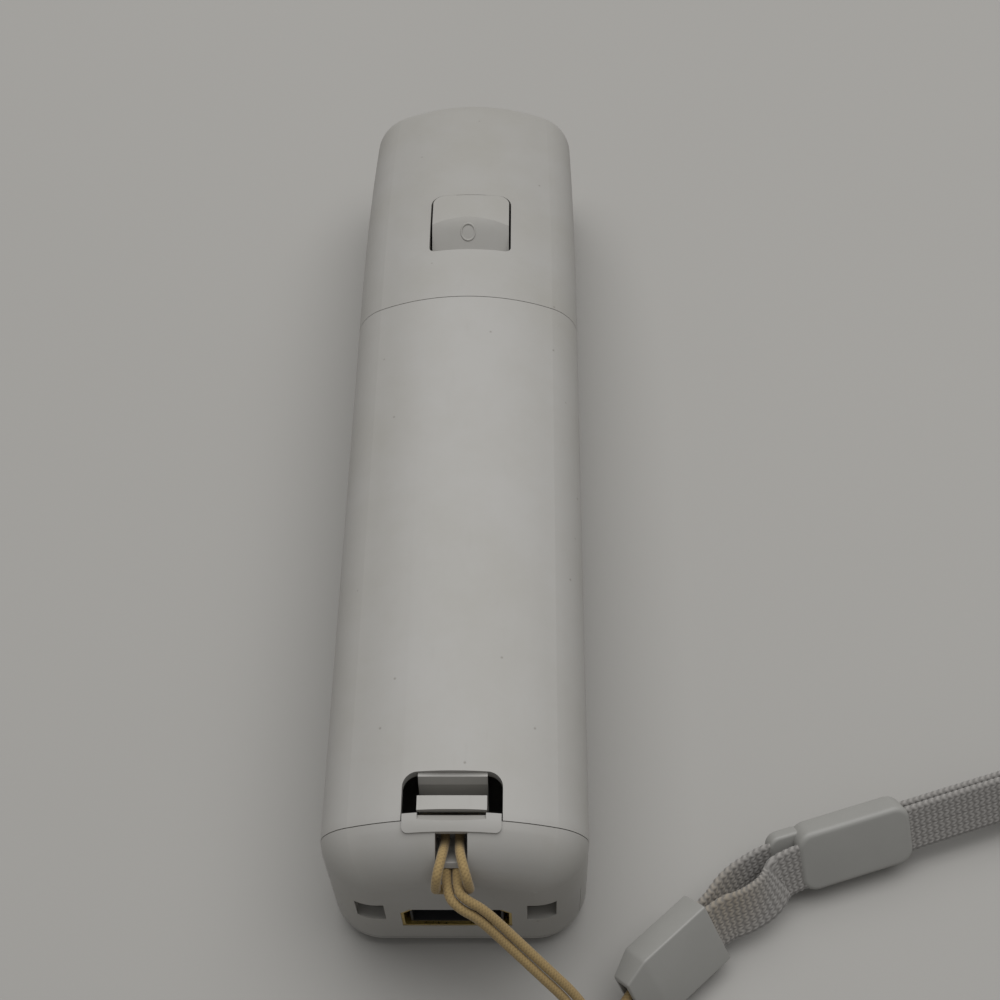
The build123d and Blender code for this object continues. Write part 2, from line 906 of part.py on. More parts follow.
def cell(side):
    """One cell: its can, its raised tip towards the plate, turned about on the other side."""
    x = side * cell_spacing / 2
    if side > 0:
        tip = bay_front_y - plate_thick
        ends = (tip - cell_tip_length - cell_length, tip - cell_tip_length)
        nub = (ends[1] - sliver, tip)
    else:
        tip = bay_rear_y + plate_thick
        ends = (tip + cell_tip_length, tip + cell_tip_length + cell_length)
        nub = (tip, ends[0] + sliver)
    can = rod_y(cell_radius, x, ends, cell_z)
    can = fillet(can.edges().filter_by(GeomType.CIRCLE), least_radius)
    return can + rod_y(cell_tip_radius, x, nub, cell_z)


def battery_plates():
    """The four contact plates at the ends of the bay."""
    plates = None
    for side in (-1, 1):
        for y in ((bay_rear_y, bay_rear_y + plate_thick), (bay_front_y - plate_thick, bay_front_y)):
            x = side * cell_spacing / 2
            plate = block(
                (x - plate_width / 2, x + plate_width / 2),
                y,
                (split_z, cell_z + plate_height / 2),
            )
            plates = plate if plates is None else plates + plate
    return plates


def battery_springs():
    """The coiled contact that presses each cell's flat end."""
    room = bay_front_y - bay_rear_y - 2 * plate_thick - cell_length - cell_tip_length
    pitch = (room - coil_wire) / coil_turns
    front = bay_front_y - plate_thick - room + coil_wire / 2
    rear = bay_rear_y + plate_thick + coil_wire / 2
    made = coil(coil_radius, pitch, coil_turns, coil_wire)
    first = Pos(-cell_spacing / 2, front + pitch * coil_turns, cell_z) * Rot(90, 0, 0) * made
    second = Pos(cell_spacing / 2, rear + pitch * coil_turns, cell_z) * Rot(90, 0, 0) * made
    return first + second


def case_screws():
    """The four screws that draw the two halves together, under the cover."""
    group = None
    for x, y in screw_places():
        screw = rod(screw_radius, x, y, (shelf_top - screw_length, shelf_top + sliver))
        head = rod(screw_head_radius, x, y, (shelf_top, shelf_top + screw_head_height))
        for turn in range(3):
            arm = block(
                (0, screw_head_radius * 0.75),
                (-screw_slot / 2, screw_slot / 2),
                (shelf_top + screw_head_height / 2, far),
            )
            head -= Pos(x, y, 0) * Rot(0, 0, 120 * turn) * arm
        screw += head
        group = screw if group is None else group + screw
    return group


def board_screws():
    group = None
    for x, y in board_screw_places():
        low = face_inner_z + wall
        screw = rod(board_screw_radius, x, y, (low, board_top + sliver))
        screw += rod(board_screw_head_radius, x, y, (board_top, board_top + board_screw_head_height))
        group = screw if group is None else group + screw
    return group


# Rumble motor: a can in a rubber cradle, and a lopsided weight on its shaft
def rumble_motor():
    can = rod_y(motor_radius, motor_x, (motor_rear_y, motor_rear_y + motor_length), motor_z)
    can = fillet(can.edges().filter_by(GeomType.CIRCLE), least_radius)
    front = motor_rear_y + motor_length
    return can - rod_y(shaft_radius + fit_gap, motor_x, (front - overrun, far), motor_z)


def motor_cradle():
    """A block under the motor that holds it on the board."""
    start = motor_rear_y + (motor_length - cradle_length) / 2
    y = (start, start + cradle_length)
    reach = motor_radius + cradle_wall
    holder = block((motor_x - reach, motor_x + reach), y, (board_top, motor_z + motor_radius / 3))
    holder &= tray_outer
    return holder - rod_y(motor_radius, motor_x, (0, far), motor_z)


def rumble_shaft():
    front = motor_rear_y + motor_length
    return rod_y(shaft_radius, motor_x, (front - overrun, front + shaft_stand), motor_z)


def rumble_weight():
    front = motor_rear_y + motor_length + running_gap
    y = (front, front + weight_length)
    disc = rod_y(weight_radius, motor_x, y, motor_z)
    disc -= block((-far, far), (0, far), (motor_z + shaft_radius * 2, far))
    return disc - rod_y(shaft_radius, motor_x, (0, far), motor_z)


def player_lights():
    """Four small lamps on the face side of the board."""
    group = None
    for x, y in led_places():
        lamp = rod(led_radius, x, y, (board_bottom - led_radius, board_bottom))
        group = lamp if group is None else group + lamp
    return group


def light_pipes():
    """Four clear pips in the face, one below each lamp."""
    group = None
    for x, y in led_places():
        pip = rod(led_radius, x, y, (face_z, board_bottom - led_radius - seam_gap))
        pip += rod(led_radius + flange_out / 2, x, y, (face_inner_z + seam_gap, face_inner_z + flange_thick))
        group = pip if group is None else group + pip
    return group


# Wrist strap: thin cord, moulded joiner, woven band and sliding clasp.
# It leans on its edge on the table as the band's folds make it lie.
strap_lean = 37.0
cord_width = 1.3
joiner_length = 11.6
joiner_thick = 4.6
joiner_width = 10.2
joiner_nose = 3.6
joiner_nose_shares = (0.72, 0.66)
strap_rise = 5.5
joiner_middle = (30.66, -76.98, strap_rise)
joiner_turn = 41.7
joiner_slot_depth = 5.0
joiner_edge = 0.5
cord_hole_depth = 3.0
band_width = 7.6
band_thick = 1.2
band_spacing = 1.4
band_slot_gap = 0.2
slider_length = 18.0
slider_thick = 4.2
slider_width = 9.6
slider_middle = (56.0, -60.9, strap_rise)
slider_turn = 17.5
slider_edge = 1.2
slider_travel = 16.0
loop_rise = 3.9

# Routes of the cord: the two strands from the hitch to the joiner, and the hitch in the hole
left_strand_route = [
    (-0.68, -72.5, 26.35),
    (-0.68, -76.1, 26.3),
    (1.1, -77.7, 25.3),
    (3.3, -78.35, 24.0),
    (7.12, -80.6, 20.0),
    (11.52, -83.5, 16.1),
    (15.37, -85.81, 12.04),
    (18.4, -89.2, 7.0),
    (21.9, -91.6, 2.8),
    (24.4, -88.9, 1.6),
    (22.8, -84.7, 4.9),
    (26.17, -81.63, 4.95),
]
right_strand_route = [
    (0.68, -72.5, 26.35),
    (0.68, -75.8, 26.7),
    (2.1, -76.9, 26.1),
    (4.26, -77.55, 24.6),
    (8.08, -79.8, 20.5),
    (12.48, -82.7, 16.6),
    (16.33, -84.99, 12.56),
    (19.2, -88.0, 8.3),
    (20.9, -88.9, 5.2),
    (22.3, -87.2, 4.3),
    (22.3, -83.8, 6.05),
    (25.56, -80.93, 6.05),
]
hitch_route = [
    (-0.95, -68.0, 26.4),
    (-0.95, -69.1, 26.4),
    (-1.1, -71.6, 29.0),
    (-1.75, -74.6, 29.1),
    (-2.05, -75.5, 26.6),
    (-2.05, -74.8, 24.5),
    (2.3, -74.8, 24.5),
    (2.35, -75.4, 26.6),
    (1.95, -74.6, 29.1),
    (1.1, -71.6, 29.0),
    (0.95, -69.1, 26.4),
    (0.95, -68.0, 26.4),
]

# Routes of the band in plan: its two strands, joined by the loop round the wrist
left_band_route = [
    (30.91, -76.0),
    (36.04, -71.44),
    (38.4, -67.9),
    (42.1, -65.3),
    (45.43, -63.65),
    (82.06, -52.1),
]
right_band_route = [
    (31.67, -76.83),
    (36.78, -72.28),
    (40.6, -71.2),
    (44.6, -68.4),
    (45.77, -64.72),
    (82.4, -53.17),
]
loop_route = [
    (80.57, -52.36),
    (91.0, -47.6),
    (102.0, -44.4),
    (113.0, -44.0),
    (120.6, -49.0),
    (121.4, -56.8),
    (114.0, -62.0),
    (103.5, -60.8),
    (93.5, -55.2),
    (86.6, -52.4),
    (81.03, -53.8),
]


def bend_radii(points):
    """The radius of the arc at each corner, from its shorter run and its turn."""
    share = 0.45
    radii = []
    for before, here, after in zip(points, points[1:], points[2:]):
        first = Vector(*here) - Vector(*before)
        second = Vector(*after) - Vector(*here)
        half_turn = math.radians(first.get_angle(second)) / 2
        radii.append(share * min(first.length, second.length) / math.tan(half_turn))
    return radii


def cord_tube(name, route):
    """A round tube of straight runs and arcs along a route, with its radii printed."""
    path = FilletPolyline(*route, radius=bend_radii(route))
    start = Plane(path @ 0, z_dir=path % 0)
    tube = sweep(start * Circle(cord_width / 2), path)
    expected = math.pi * (cord_width / 2) ** 2 * path.length
    print(name, "radii", [round(r, 1) for r in bend_radii(route)])
    print(name, "length", round(path.length, 1), "volume share", round(tube.volume / expected, 3))
    return tube


def band_strip(name, route, rise, lean):
    """A flat strip on edge along a plan route, its top edge leaning to the left."""
    points = [(x, y, rise) for x, y in route]
    path = FilletPolyline(*points, radius=bend_radii(points))
    start = Plane(path @ 0, z_dir=path % 0, x_dir=(0, 0, 1))
    strip = sweep(start * Rot(0, 0, lean) * Rectangle(band_width, band_thick), path)
    share = strip.volume / (band_width * band_thick * path.length)
    print(name, "radii", [round(r, 1) for r in bend_radii(points)])
    print(name, "length", round(path.length, 1), "volume share", round(share, 3))
    return strip


def strap_band():
    """The woven band: one strip from the joiner round the wrist loop and back."""
    drop = band_spacing / 2 * math.sin(math.radians(strap_lean))
    left = band_strip("left band", left_band_route, strap_rise - drop, -strap_lean)
    right = band_strip("right band", right_band_route, strap_rise + drop, -strap_lean)
    return left + right + band_strip("loop", loop_route, loop_rise, 0)


def leaning(place, turn):
    """The place of a piece that lies along the strap and leans as the band does."""
    return Pos(*place) * Rot(0, 0, turn) * Rot(-strap_lean, 0, 0)


def strap_joiner():
    """The moulded joiner of cord and band: a slim block with a drawn-in nose."""
    rear = -joiner_length / 2
    body = Box(joiner_length, joiner_thick, joiner_width)
    nose = loft(
        [
            Plane.YZ.offset(rear) * Rectangle(joiner_thick, joiner_width),
            Plane.YZ.offset(rear - joiner_nose)
            * Rectangle(joiner_thick * joiner_nose_shares[0], joiner_width * joiner_nose_shares[1]),
        ]
    )
    body += nose
    slot_thick = band_thick + band_spacing + band_slot_gap
    slot_start = joiner_length / 2 - joiner_slot_depth
    slot = block(
        (slot_start, joiner_length),
        (-slot_thick / 2, slot_thick / 2),
        (-band_width / 2 - band_slot_gap, band_width / 2 + band_slot_gap),
    )
    hole_end_x = rear - joiner_nose + cord_hole_depth
    half = cord_width / 2 + band_slot_gap
    hole = block((-joiner_length, hole_end_x), (-half, half), (-cord_width - half / 2, cord_width + half / 2))
    body -= slot
    body -= hole
    return leaning(joiner_middle, joiner_turn) * body


def strap_slider():
    """The clasp that slides along both strands of the band."""
    body = Box(slider_length, slider_thick, slider_width)
    body = fillet(body.edges(), slider_edge)
    slot_thick = band_thick + band_spacing + band_slot_gap
    body -= Box(
        slider_length + overrun,
        slot_thick,
        band_width + 2 * band_slot_gap,
    )
    return leaning(slider_middle, slider_turn) * body


def tray_with_sync_hole(case):
    x, y = sync_place
    return case - rod(sync_radius + fit_gap, x, y, (split_z - tray_floor - overrun, split_z + overrun))


def plain_parts():
    """Every sub-part that is made once, by the name of its node."""
    return {
        "front_case": front_case(),
        "rear_case": tray_with_sync_hole(rear_case()),
        "battery_cover": battery_cover(),
        "ir_window": ir_window(),
        "b_trigger": b_trigger(),
        "trigger_pin": trigger_pin(),
        "trigger_spring": trigger_spring(),
        "trigger_pad": trigger_pad(),
        "main_board": board_outline(),
        "board_screws": board_screws(),
        "case_screws": case_screws(),
        "radio_module": radio_module(),
        "processor_chip": on_board(processor_place, processor_size),
        "motion_sensor": on_board(motion_place, motion_size),
        "memory_chip": on_board(memory_place, memory_size),
        "clock_crystal": on_board(crystal_place, crystal_size),
        "power_regulator": on_board(regulator_place, regulator_size),
        "capacitor": rod(capacitor_radius, *capacitor_place, (board_top, board_top + capacitor_height)),
        "camera_module": camera_module(),
        "camera_lens": camera_lens(),
        "speaker": speaker(),
        "sync_button": sync_button(),
        "sync_switch": on_board(sync_place, sync_switch_size),
        "expansion_shell": expansion_shell(),
        "expansion_contacts": expansion_contacts(),
        "cell_left": cell(-1),
        "cell_right": cell(1),
        "battery_plates": battery_plates(),
        "battery_springs": battery_springs(),
        "rumble_motor": rumble_motor(),
        "motor_cradle": motor_cradle(),
        "rumble_shaft": rumble_shaft(),
        "rumble_weight": rumble_weight(),
        "player_lights": player_lights(),
        "light_pipes": light_pipes(),
        "strap_cord_left": cord_tube("left strand", left_strand_route),
        "strap_cord_right": cord_tube("right strand", right_strand_route),
        "strap_cord_hitch": cord_tube("hitch", hitch_route),
        "strap_joiner": strap_joiner(),
        "strap_band": strap_band(),
        "strap_slider": strap_slider(),
    }


parts = plain_parts()
for name, (place, outline) in keys.items():
    parts[name] = key_cap(place, outline)
    parts[name.replace("button", "pad") if "button" in name else "direction_contacts"] = key_pad(
        place, outline
    )

for name, solid in parts.items():
    export_step(solid, f"parts/{name}.step")
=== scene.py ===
# %% [markdown]
# A hand-held controller wand lies face down on a pale table, seen from its strap end.
# Its moulded shells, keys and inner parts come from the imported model, so here they only get
# their finishes. The cords, the knitted band and the two clasps on it are made anew, because
# their threads and rounded edges are finer than that model holds.

import math

import bmesh
import bpy
from mathutils import Matrix, Vector


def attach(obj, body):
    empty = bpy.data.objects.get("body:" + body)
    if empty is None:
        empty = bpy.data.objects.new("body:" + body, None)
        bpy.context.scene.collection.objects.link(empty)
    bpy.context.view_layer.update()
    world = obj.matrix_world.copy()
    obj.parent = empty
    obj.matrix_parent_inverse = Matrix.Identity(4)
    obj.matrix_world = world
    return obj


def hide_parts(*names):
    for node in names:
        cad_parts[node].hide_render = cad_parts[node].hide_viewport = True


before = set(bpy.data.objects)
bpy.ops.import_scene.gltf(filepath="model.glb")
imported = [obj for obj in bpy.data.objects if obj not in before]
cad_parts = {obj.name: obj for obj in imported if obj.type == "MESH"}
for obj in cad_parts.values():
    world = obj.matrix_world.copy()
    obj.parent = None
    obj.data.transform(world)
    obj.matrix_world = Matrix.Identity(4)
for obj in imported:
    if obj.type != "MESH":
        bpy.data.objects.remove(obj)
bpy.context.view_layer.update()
mm = 0.001

# %% [markdown]
# The camera comes first. It looks down at the wand from behind its strap end, a little turned
# and tilted. Set by eye it would be some millimetres off, so its place and angles were fitted
# to the wand's known length, width and thickness. Its three axes are worked out from the
# angles and written straight into its matrix.

# %% Camera
camera_place = Vector((11.1, -146.9, 221.5)) * mm
camera_yaw = math.radians(-2.33)
camera_pitch = math.radians(55.92)
camera_roll = math.radians(-2.18)
camera_lens = 56.44
camera_sensor = 36.0
camera_nearest = 0.01

forward = Vector(
    (
        math.sin(camera_yaw) * math.cos(camera_pitch),
        math.cos(camera_yaw) * math.cos(camera_pitch),
        -math.sin(camera_pitch),
    )
)
level = Vector((math.cos(camera_yaw), -math.sin(camera_yaw), 0))
above = level.cross(forward)
across = level * math.cos(camera_roll) + above * math.sin(camera_roll)
upward = above * math.cos(camera_roll) - level * math.sin(camera_roll)
bpy.ops.object.camera_add()
camera = bpy.context.object
camera.matrix_world = Matrix.Translation(camera_place) @ Matrix(
    (across, upward, -forward)
).transposed().to_4x4()
camera.data.lens = camera_lens
camera.data.sensor_width = camera_sensor
camera.data.clip_start = camera_nearest
bpy.context.scene.camera = camera
print("camera", [round(c, 4) for c in camera.location])

# %% [markdown]
# Two thin strands come out of a small mouth in the case, just below the strap hole, and run to
# the joiner. A hitch of the same cord hangs out of the hole above them. Each follows the route
# of its solid. Straight lines between the points would leave corners, so the points are the
# control points of a spline, which runs smoothly, as a limp cord does.

# %% Routes of the cord, in millimetres
left_strand_route = [
    (-0.68, -72.5, 26.35),
    (-0.68, -76.1, 26.3),
    (1.1, -77.7, 25.3),
    (3.3, -78.35, 24.0),
    (7.12, -80.6, 20.0),
    (11.52, -83.5, 16.1),
    (15.37, -85.81, 12.04),
    (18.4, -89.2, 7.0),
    (21.9, -91.6, 2.8),
    (24.4, -88.9, 1.6),
    (22.8, -84.7, 4.9),
    (26.17, -81.63, 4.95),
]
right_strand_route = [
    (0.68, -72.5, 26.35),
    (0.68, -75.8, 26.7),
    (2.1, -76.9, 26.1),
    (4.26, -77.55, 24.6),
    (8.08, -79.8, 20.5),
    (12.48, -82.7, 16.6),
    (16.33, -84.99, 12.56),
    (19.2, -88.0, 8.3),
    (20.9, -88.9, 5.2),
    (22.3, -87.2, 4.3),
    (22.3, -83.8, 6.05),
    (25.56, -80.93, 6.05),
]
hitch_route = [
    (-0.95, -68.0, 26.4),
    (-0.95, -69.1, 26.4),
    (-1.1, -71.6, 29.0),
    (-1.75, -74.6, 29.1),
    (-2.05, -75.5, 26.6),
    (-2.05, -74.8, 24.5),
    (2.3, -74.8, 24.5),
    (2.35, -75.4, 26.6),
    (1.95, -74.6, 29.1),
    (1.1, -71.6, 29.0),
    (0.95, -69.1, 26.4),
    (0.95, -68.0, 26.4),
]
cord_width = 1.3 * mm
print("control points", len(left_strand_route), len(right_strand_route), len(hitch_route))

# %% [markdown]
# Cord and band are built in the same way. The smooth line is cut into even steps, a ring of
# points is set round it at each step, and one skin joins ring to ring. A bevelled curve would
# be quicker, but its section is the same all along, while here every ring has its own threads.

# %% Smooth lines and skins
line_steps = 24
line_order = 3
least_gap = 1e-9


def smooth_line(name, route):
    """The points of the smooth spline whose control points are a route in millimetres."""
    line = bpy.data.curves.new(name, "CURVE")
    line.dimensions = "3D"
    line.resolution_u = line_steps
    spline = line.splines.new("NURBS")
    spline.points.add(len(route) - 1)
    for point, place in zip(spline.points, route):
        point.co = (place[0] * mm, place[1] * mm, place[2] * mm, 1.0)
    spline.order_u = line_order
    spline.use_endpoint_u = True
    holder = bpy.data.objects.new(name, line)
    bpy.context.collection.objects.link(holder)
    bpy.context.view_layer.update()
    drawn = bpy.data.meshes.new_from_object(holder)
    points = [v.co.copy() for v in drawn.vertices]
    bpy.data.objects.remove(holder)
    return points


def even_points(points, step):
    """Points about a step apart on a line, each with its distance from the start."""
    reach = [0.0]
    for before, here in zip(points, points[1:]):
        reach.append(reach[-1] + (here - before).length)
    count = max(2, round(reach[-1] / step))
    found = []
    k = 0
    for n in range(count + 1):
        want = reach[-1] * n / count
        while k < len(points) - 2 and reach[k + 1] < want:
            k += 1
        part = (want - reach[k]) / max(reach[k + 1] - reach[k], least_gap)
        found.append((points[k].lerp(points[k + 1], part), want))
    return found


def directions(places):
    """The way a line runs at each of its points."""
    ahead = places[1:] + [places[-1] + (places[-1] - places[-2])]
    behind = [places[0] - (places[1] - places[0])] + places[:-1]
    return [(a - b).normalized() for a, b in zip(ahead, behind)]


def skin_of_rings(name, rings, dips):
    """A closed mesh through rings of points. How deep each point lies is kept as its dip, which
    the yarn finish turns into painted shade.
    """
    count = len(rings[0])
    corners = [tuple(p) for ring in rings for p in ring]
    faces = []
    for r in range(len(rings) - 1):
        for n in range(count):
            m = (n + 1) % count
            faces.append((r * count + n, r * count + m, (r + 1) * count + m, (r + 1) * count + n))
    faces.append(tuple(reversed(range(count))))
    faces.append(tuple(range((len(rings) - 1) * count, len(rings) * count)))
    mesh = bpy.data.meshes.new(name)
    mesh.from_pydata(corners, [], faces)
    mesh.polygons.foreach_set("use_smooth", [True] * len(faces))
    depth = mesh.attributes.new("dip", "FLOAT", "POINT")
    depth.data.foreach_set("value", [d for ring in dips for d in ring])
    piece = bpy.data.objects.new(name, mesh)
    bpy.context.collection.objects.link(piece)
    form = bmesh.new()
    form.from_mesh(mesh)
    bmesh.ops.recalc_face_normals(form, faces=form.faces)
    form.to_mesh(mesh)
    form.free()
    return piece


# %% [markdown]
# The cord is a fine round braid. Two sets of yarns wind round it in opposite ways and pass
# over and under each other, which gives rows of small slanting grains. A bump in the finish
# would leave the outline smooth, so the grains are part of the tube's shape. They are about a
# third of a millimetre wide.

# %% Braided cord
braid_pitch = 2.4 * mm
braid_yarns = 5
braid_step = 0.11 * mm
braid_sides = 24
braid_dip_share = 0.09


def braided_cord(name, route):
    """A round braid along a route. Returns the piece, its points and its length."""
    points = even_points(smooth_line(name + "_line", route), braid_step)
    places = [p for p, _ in points]
    ways = directions(places)
    side = ways[0].orthogonal().normalized()
    rings = []
    dips = []
    for (place, reach), way in zip(points, ways):
        side = (side - way * side.dot(way)).normalized()
        up = way.cross(side)
        ring = []
        ring_dips = []
        for n in range(braid_sides):
            turn = 2 * math.pi * n / braid_sides
            wind = 2 * math.pi * reach / braid_pitch
            one = math.cos(braid_yarns * (turn + wind))
            other = math.cos(braid_yarns * (turn - wind))
            height = max(one, other) * 0.5 + 0.5
            radius = cord_width / 2 * (1 - braid_dip_share * (1 - height))
            ring.append(place + (side * math.cos(turn) + up * math.sin(turn)) * radius)
            ring_dips.append(1 - height)
        rings.append(ring)
        dips.append(ring_dips)
    piece = skin_of_rings(name, rings, dips)
    print(name, "length in mm", round(points[-1][1] / mm, 1))
    return piece, places, points[-1][1]


cord_pieces = {}
for node, route in (
    ("strap_cord_left", left_strand_route),
    ("strap_cord_right", right_strand_route),
    ("strap_cord_hitch", hitch_route),
):
    piece, places, length = braided_cord("braid_" + node, route)
    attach(piece, "housing")
    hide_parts(node)
    cord_pieces[node] = (piece, places, length)

# %% [markdown]
# The band is a knitted strap, with rows of V-shaped stitches a little under a millimetre wide.
# It stands on its long edge and leans over. Its two strands and the loop round the wrist each
# follow a route of their own, seen from above. Each keeps one height all along, so a plan and
# a rise say where it lies.

# %% Routes of the band, in millimetres
strap_lean = math.radians(37.0)
strap_rise = 5.5
band_half_gap = 0.7
band_drop = band_half_gap * math.sin(strap_lean)
left_band_route = [
    (30.91, -76.0),
    (36.04, -71.44),
    (38.4, -67.9),
    (42.1, -65.3),
    (45.43, -63.65),
    (82.06, -52.1),
]
right_band_route = [
    (31.67, -76.83),
    (36.78, -72.28),
    (40.6, -71.2),
    (44.6, -68.4),
    (45.77, -64.72),
    (82.4, -53.17),
]
loop_route = [
    (80.57, -52.36),
    (91.0, -47.6),
    (102.0, -44.4),
    (113.0, -44.0),
    (120.6, -49.0),
    (121.4, -56.8),
    (114.0, -62.0),
    (103.5, -60.8),
    (93.5, -55.2),
    (86.6, -52.4),
    (81.03, -53.8),
]
loop_rise = 3.9
print("control points", len(left_band_route), len(right_band_route), len(loop_route))

# %% [markdown]
# Each part of the band is a flat strip with round edges, and its stitches are pushed out all
# round it. A stitch is a V: two slanting legs side by side, whose tops lie a little ahead. One
# function gives a stitch's height at any place on the strip, and the rings are drawn through
# it. Modelling each yarn would take many times the faces for the same look.

# %% Knitted band
band_width = 7.6 * mm
band_thick = 1.2 * mm
stitch_column = 0.957 * mm
stitch_row = 0.95 * mm
stitch_height = 0.2 * mm
stitch_slant = 0.55
row_power = 0.7
column_power = 0.5
band_step = 0.16 * mm
face_columns = 44
edge_columns = 6


def stitch(along, over):
    """How far a stitch stands out, from 0 to 1, at a place along and round the band."""
    across_stitch = (over / stitch_column) % 1.0
    leg = abs(across_stitch - 0.5) * 2
    row = 0.5 + 0.5 * math.cos(2 * math.pi * (along / stitch_row + leg * stitch_slant))
    column = math.sin(math.pi * ((2 * across_stitch) % 1.0))
    return row**row_power * max(column, 0.0) ** column_power


def band_outline():
    """The places round the band's section. Each is given as its place over the width and out
    of the face, the way out there in the same two directions, and the distance round."""
    thin = band_thick / 2 - stitch_height
    flat = band_width / 2 - stitch_height - thin
    outline = []
    around = 0.0
    for sign in (1, -1):
        for n in range(face_columns + 1):
            run = 2 * flat * n / face_columns
            outline.append(((flat - run) * sign, thin * sign, 0.0, sign, around + run))
        around += 2 * flat
        for n in range(1, edge_columns):
            turn = math.pi * n / edge_columns
            side = -math.sin(turn) * sign
            out = math.cos(turn) * sign
            edge_place = (side * thin - flat * sign, out * thin)
            outline.append((*edge_place, side, out, around + thin * turn))
        around += math.pi * thin
    return outline


def knitted_band(name, route, rise, lean):
    """A knitted strip on edge along a plan route. Returns the piece, its points and length."""
    line = smooth_line(name + "_line", [(x, y, rise) for x, y in route])
    points = even_points(line, band_step)
    places = [p for p, _ in points]
    outline = band_outline()
    upright = Vector((0, 0, 1))
    rings = []
    dips = []
    for (place, reach), way in zip(points, directions(places)):
        left = upright.cross(way).normalized()
        wide = upright * math.cos(lean) + left * math.sin(lean)
        out = wide.cross(way).normalized()
        ring = []
        ring_dips = []
        for over, proud, side_way, out_way, around in outline:
            raised = stitch(reach, around)
            push = raised * stitch_height
            ring.append(place + wide * (over + side_way * push) + out * (proud + out_way * push))
            ring_dips.append(1 - raised)
        rings.append(ring)
        dips.append(ring_dips)
    piece = skin_of_rings(name, rings, dips)
    print(name, "length in mm", round(points[-1][1] / mm, 1))
    return piece, places, points[-1][1]


band_pieces = []
for name, route, rise, lean in (
    ("band_left_strand", left_band_route, strap_rise - band_drop, strap_lean),
    ("band_right_strand", right_band_route, strap_rise + band_drop, strap_lean),
    ("band_wrist_loop", loop_route, loop_rise, 0.0),
):
    piece, places, length = knitted_band(name, route, rise, lean)
    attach(piece, "housing")
    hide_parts("strap_band")
    band_pieces.append((piece, places, length))

# %% [markdown]
# The two clasps are hard moulded pieces, modelled as by hand: a cube, then extrudes, insets and
# bevels. An operator acts on whatever is selected, so these helpers start a piece alone, pick
# its faces or edges by where they lie, and move the finished piece to its place on the strap.

# %% Helpers for modelling by hand
smooth_below = math.radians(35)


def start_cube(name, size):
    """A cube of a given size at the origin, alone selected and in edit mode."""
    bpy.ops.object.select_all(action="DESELECT")
    bpy.ops.mesh.primitive_cube_add(size=1, location=(0, 0, 0))
    piece = bpy.context.object
    piece.name = name
    piece.scale = size
    bpy.ops.object.transform_apply(location=False, rotation=False, scale=True)
    bpy.ops.object.mode_set(mode="EDIT")
    return piece


def pick(piece, kind, test):
    """Selects only the faces or edges of a piece that pass a test. Works in edit mode."""
    bpy.ops.mesh.select_mode(type=kind)
    bpy.ops.mesh.select_all(action="DESELECT")
    form = bmesh.from_edit_mesh(piece.data)
    items = form.faces if kind == "FACE" else form.edges
    for item in items:
        item.select_set(test(item))
    bmesh.update_edit_mesh(piece.data)


def edge_middle(edge):
    return (edge.verts[0].co + edge.verts[1].co) / 2


def put_in_place(piece, place):
    """Moves a finished piece by a matrix, into its mesh, and smooths its rounded faces."""
    bpy.ops.object.mode_set(mode="OBJECT")
    piece.data.transform(place)
    bpy.ops.object.select_all(action="DESELECT")
    piece.select_set(True)
    bpy.context.view_layer.objects.active = piece
    bpy.ops.object.shade_smooth_by_angle(angle=smooth_below)


def along_strap(place, turn):
    """The matrix of a piece that lies along the strap and leans as the band does."""
    return (
        Matrix.Translation(Vector(place) * mm)
        @ Matrix.Rotation(math.radians(turn), 4, "Z")
        @ Matrix.Rotation(-strap_lean, 4, "X")
    )


# %% [markdown]
# The joiner ties cord and band together: a slim block with a drawn-in nose. The nose is
# extruded and narrowed, the edges are bevelled, and the slot for the band and the hole for the
# cord are inset and pushed in. A cut with a second solid would do for the holes, but it leaves
# long thin faces that shade badly.

# %% Joiner
joiner_size = Vector((11.6, 4.6, 10.2)) * mm
joiner_place = along_strap((30.66, -76.98, strap_rise), 41.7)
joiner_nose = 3.6 * mm
joiner_nose_shares = (1.0, 0.72, 0.66)
joiner_edge = 0.3 * mm
joiner_slot_wall = 0.4 * mm
joiner_slot_depth = 5.0 * mm
joiner_hole_wall = 0.3 * mm
joiner_hole_depth = 2.8 * mm
end_face_area = 10 * mm**2
square_on = 0.999

joiner = start_cube("moulded_joiner", joiner_size)
pick(joiner, "FACE", lambda f: f.normal.x < -square_on)
bpy.ops.mesh.extrude_region_move(TRANSFORM_OT_translate={"value": (-joiner_nose, 0, 0)})
nose_x = -joiner_size.x / 2 - joiner_nose
bpy.ops.transform.resize(value=joiner_nose_shares, center_override=(nose_x, 0, 0))
pick(joiner, "EDGE", lambda e: True)
bpy.ops.mesh.bevel(offset=joiner_edge, segments=4, profile=0.5)
pick(joiner, "FACE", lambda f: f.normal.x > square_on and f.calc_area() > end_face_area)
bpy.ops.mesh.inset(thickness=joiner_slot_wall)
bpy.ops.mesh.extrude_region_move(TRANSFORM_OT_translate={"value": (-joiner_slot_depth, 0, 0)})
pick(
    joiner,
    "FACE",
    lambda f: f.normal.x < -square_on and f.calc_center_median().x < nose_x / 2,
)
bpy.ops.mesh.inset(thickness=joiner_hole_wall)
bpy.ops.mesh.extrude_region_move(TRANSFORM_OT_translate={"value": (joiner_hole_depth, 0, 0)})
put_in_place(joiner, joiner_place)
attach(joiner, "housing")
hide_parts("strap_joiner")
print("joiner faces", len(joiner.data.polygons))

# %% [markdown]
# The slider is a short rounded sleeve that both strands of the band pass through. A block's
# four end corners are bevelled wide and the edges round its two faces less, then its two ends
# are inset and bridged, which cuts the slot. Behind its front a shorter block stands out
# towards the joiner, and the rear strand goes into it. Both are the same kind of block, so one
# function makes them.

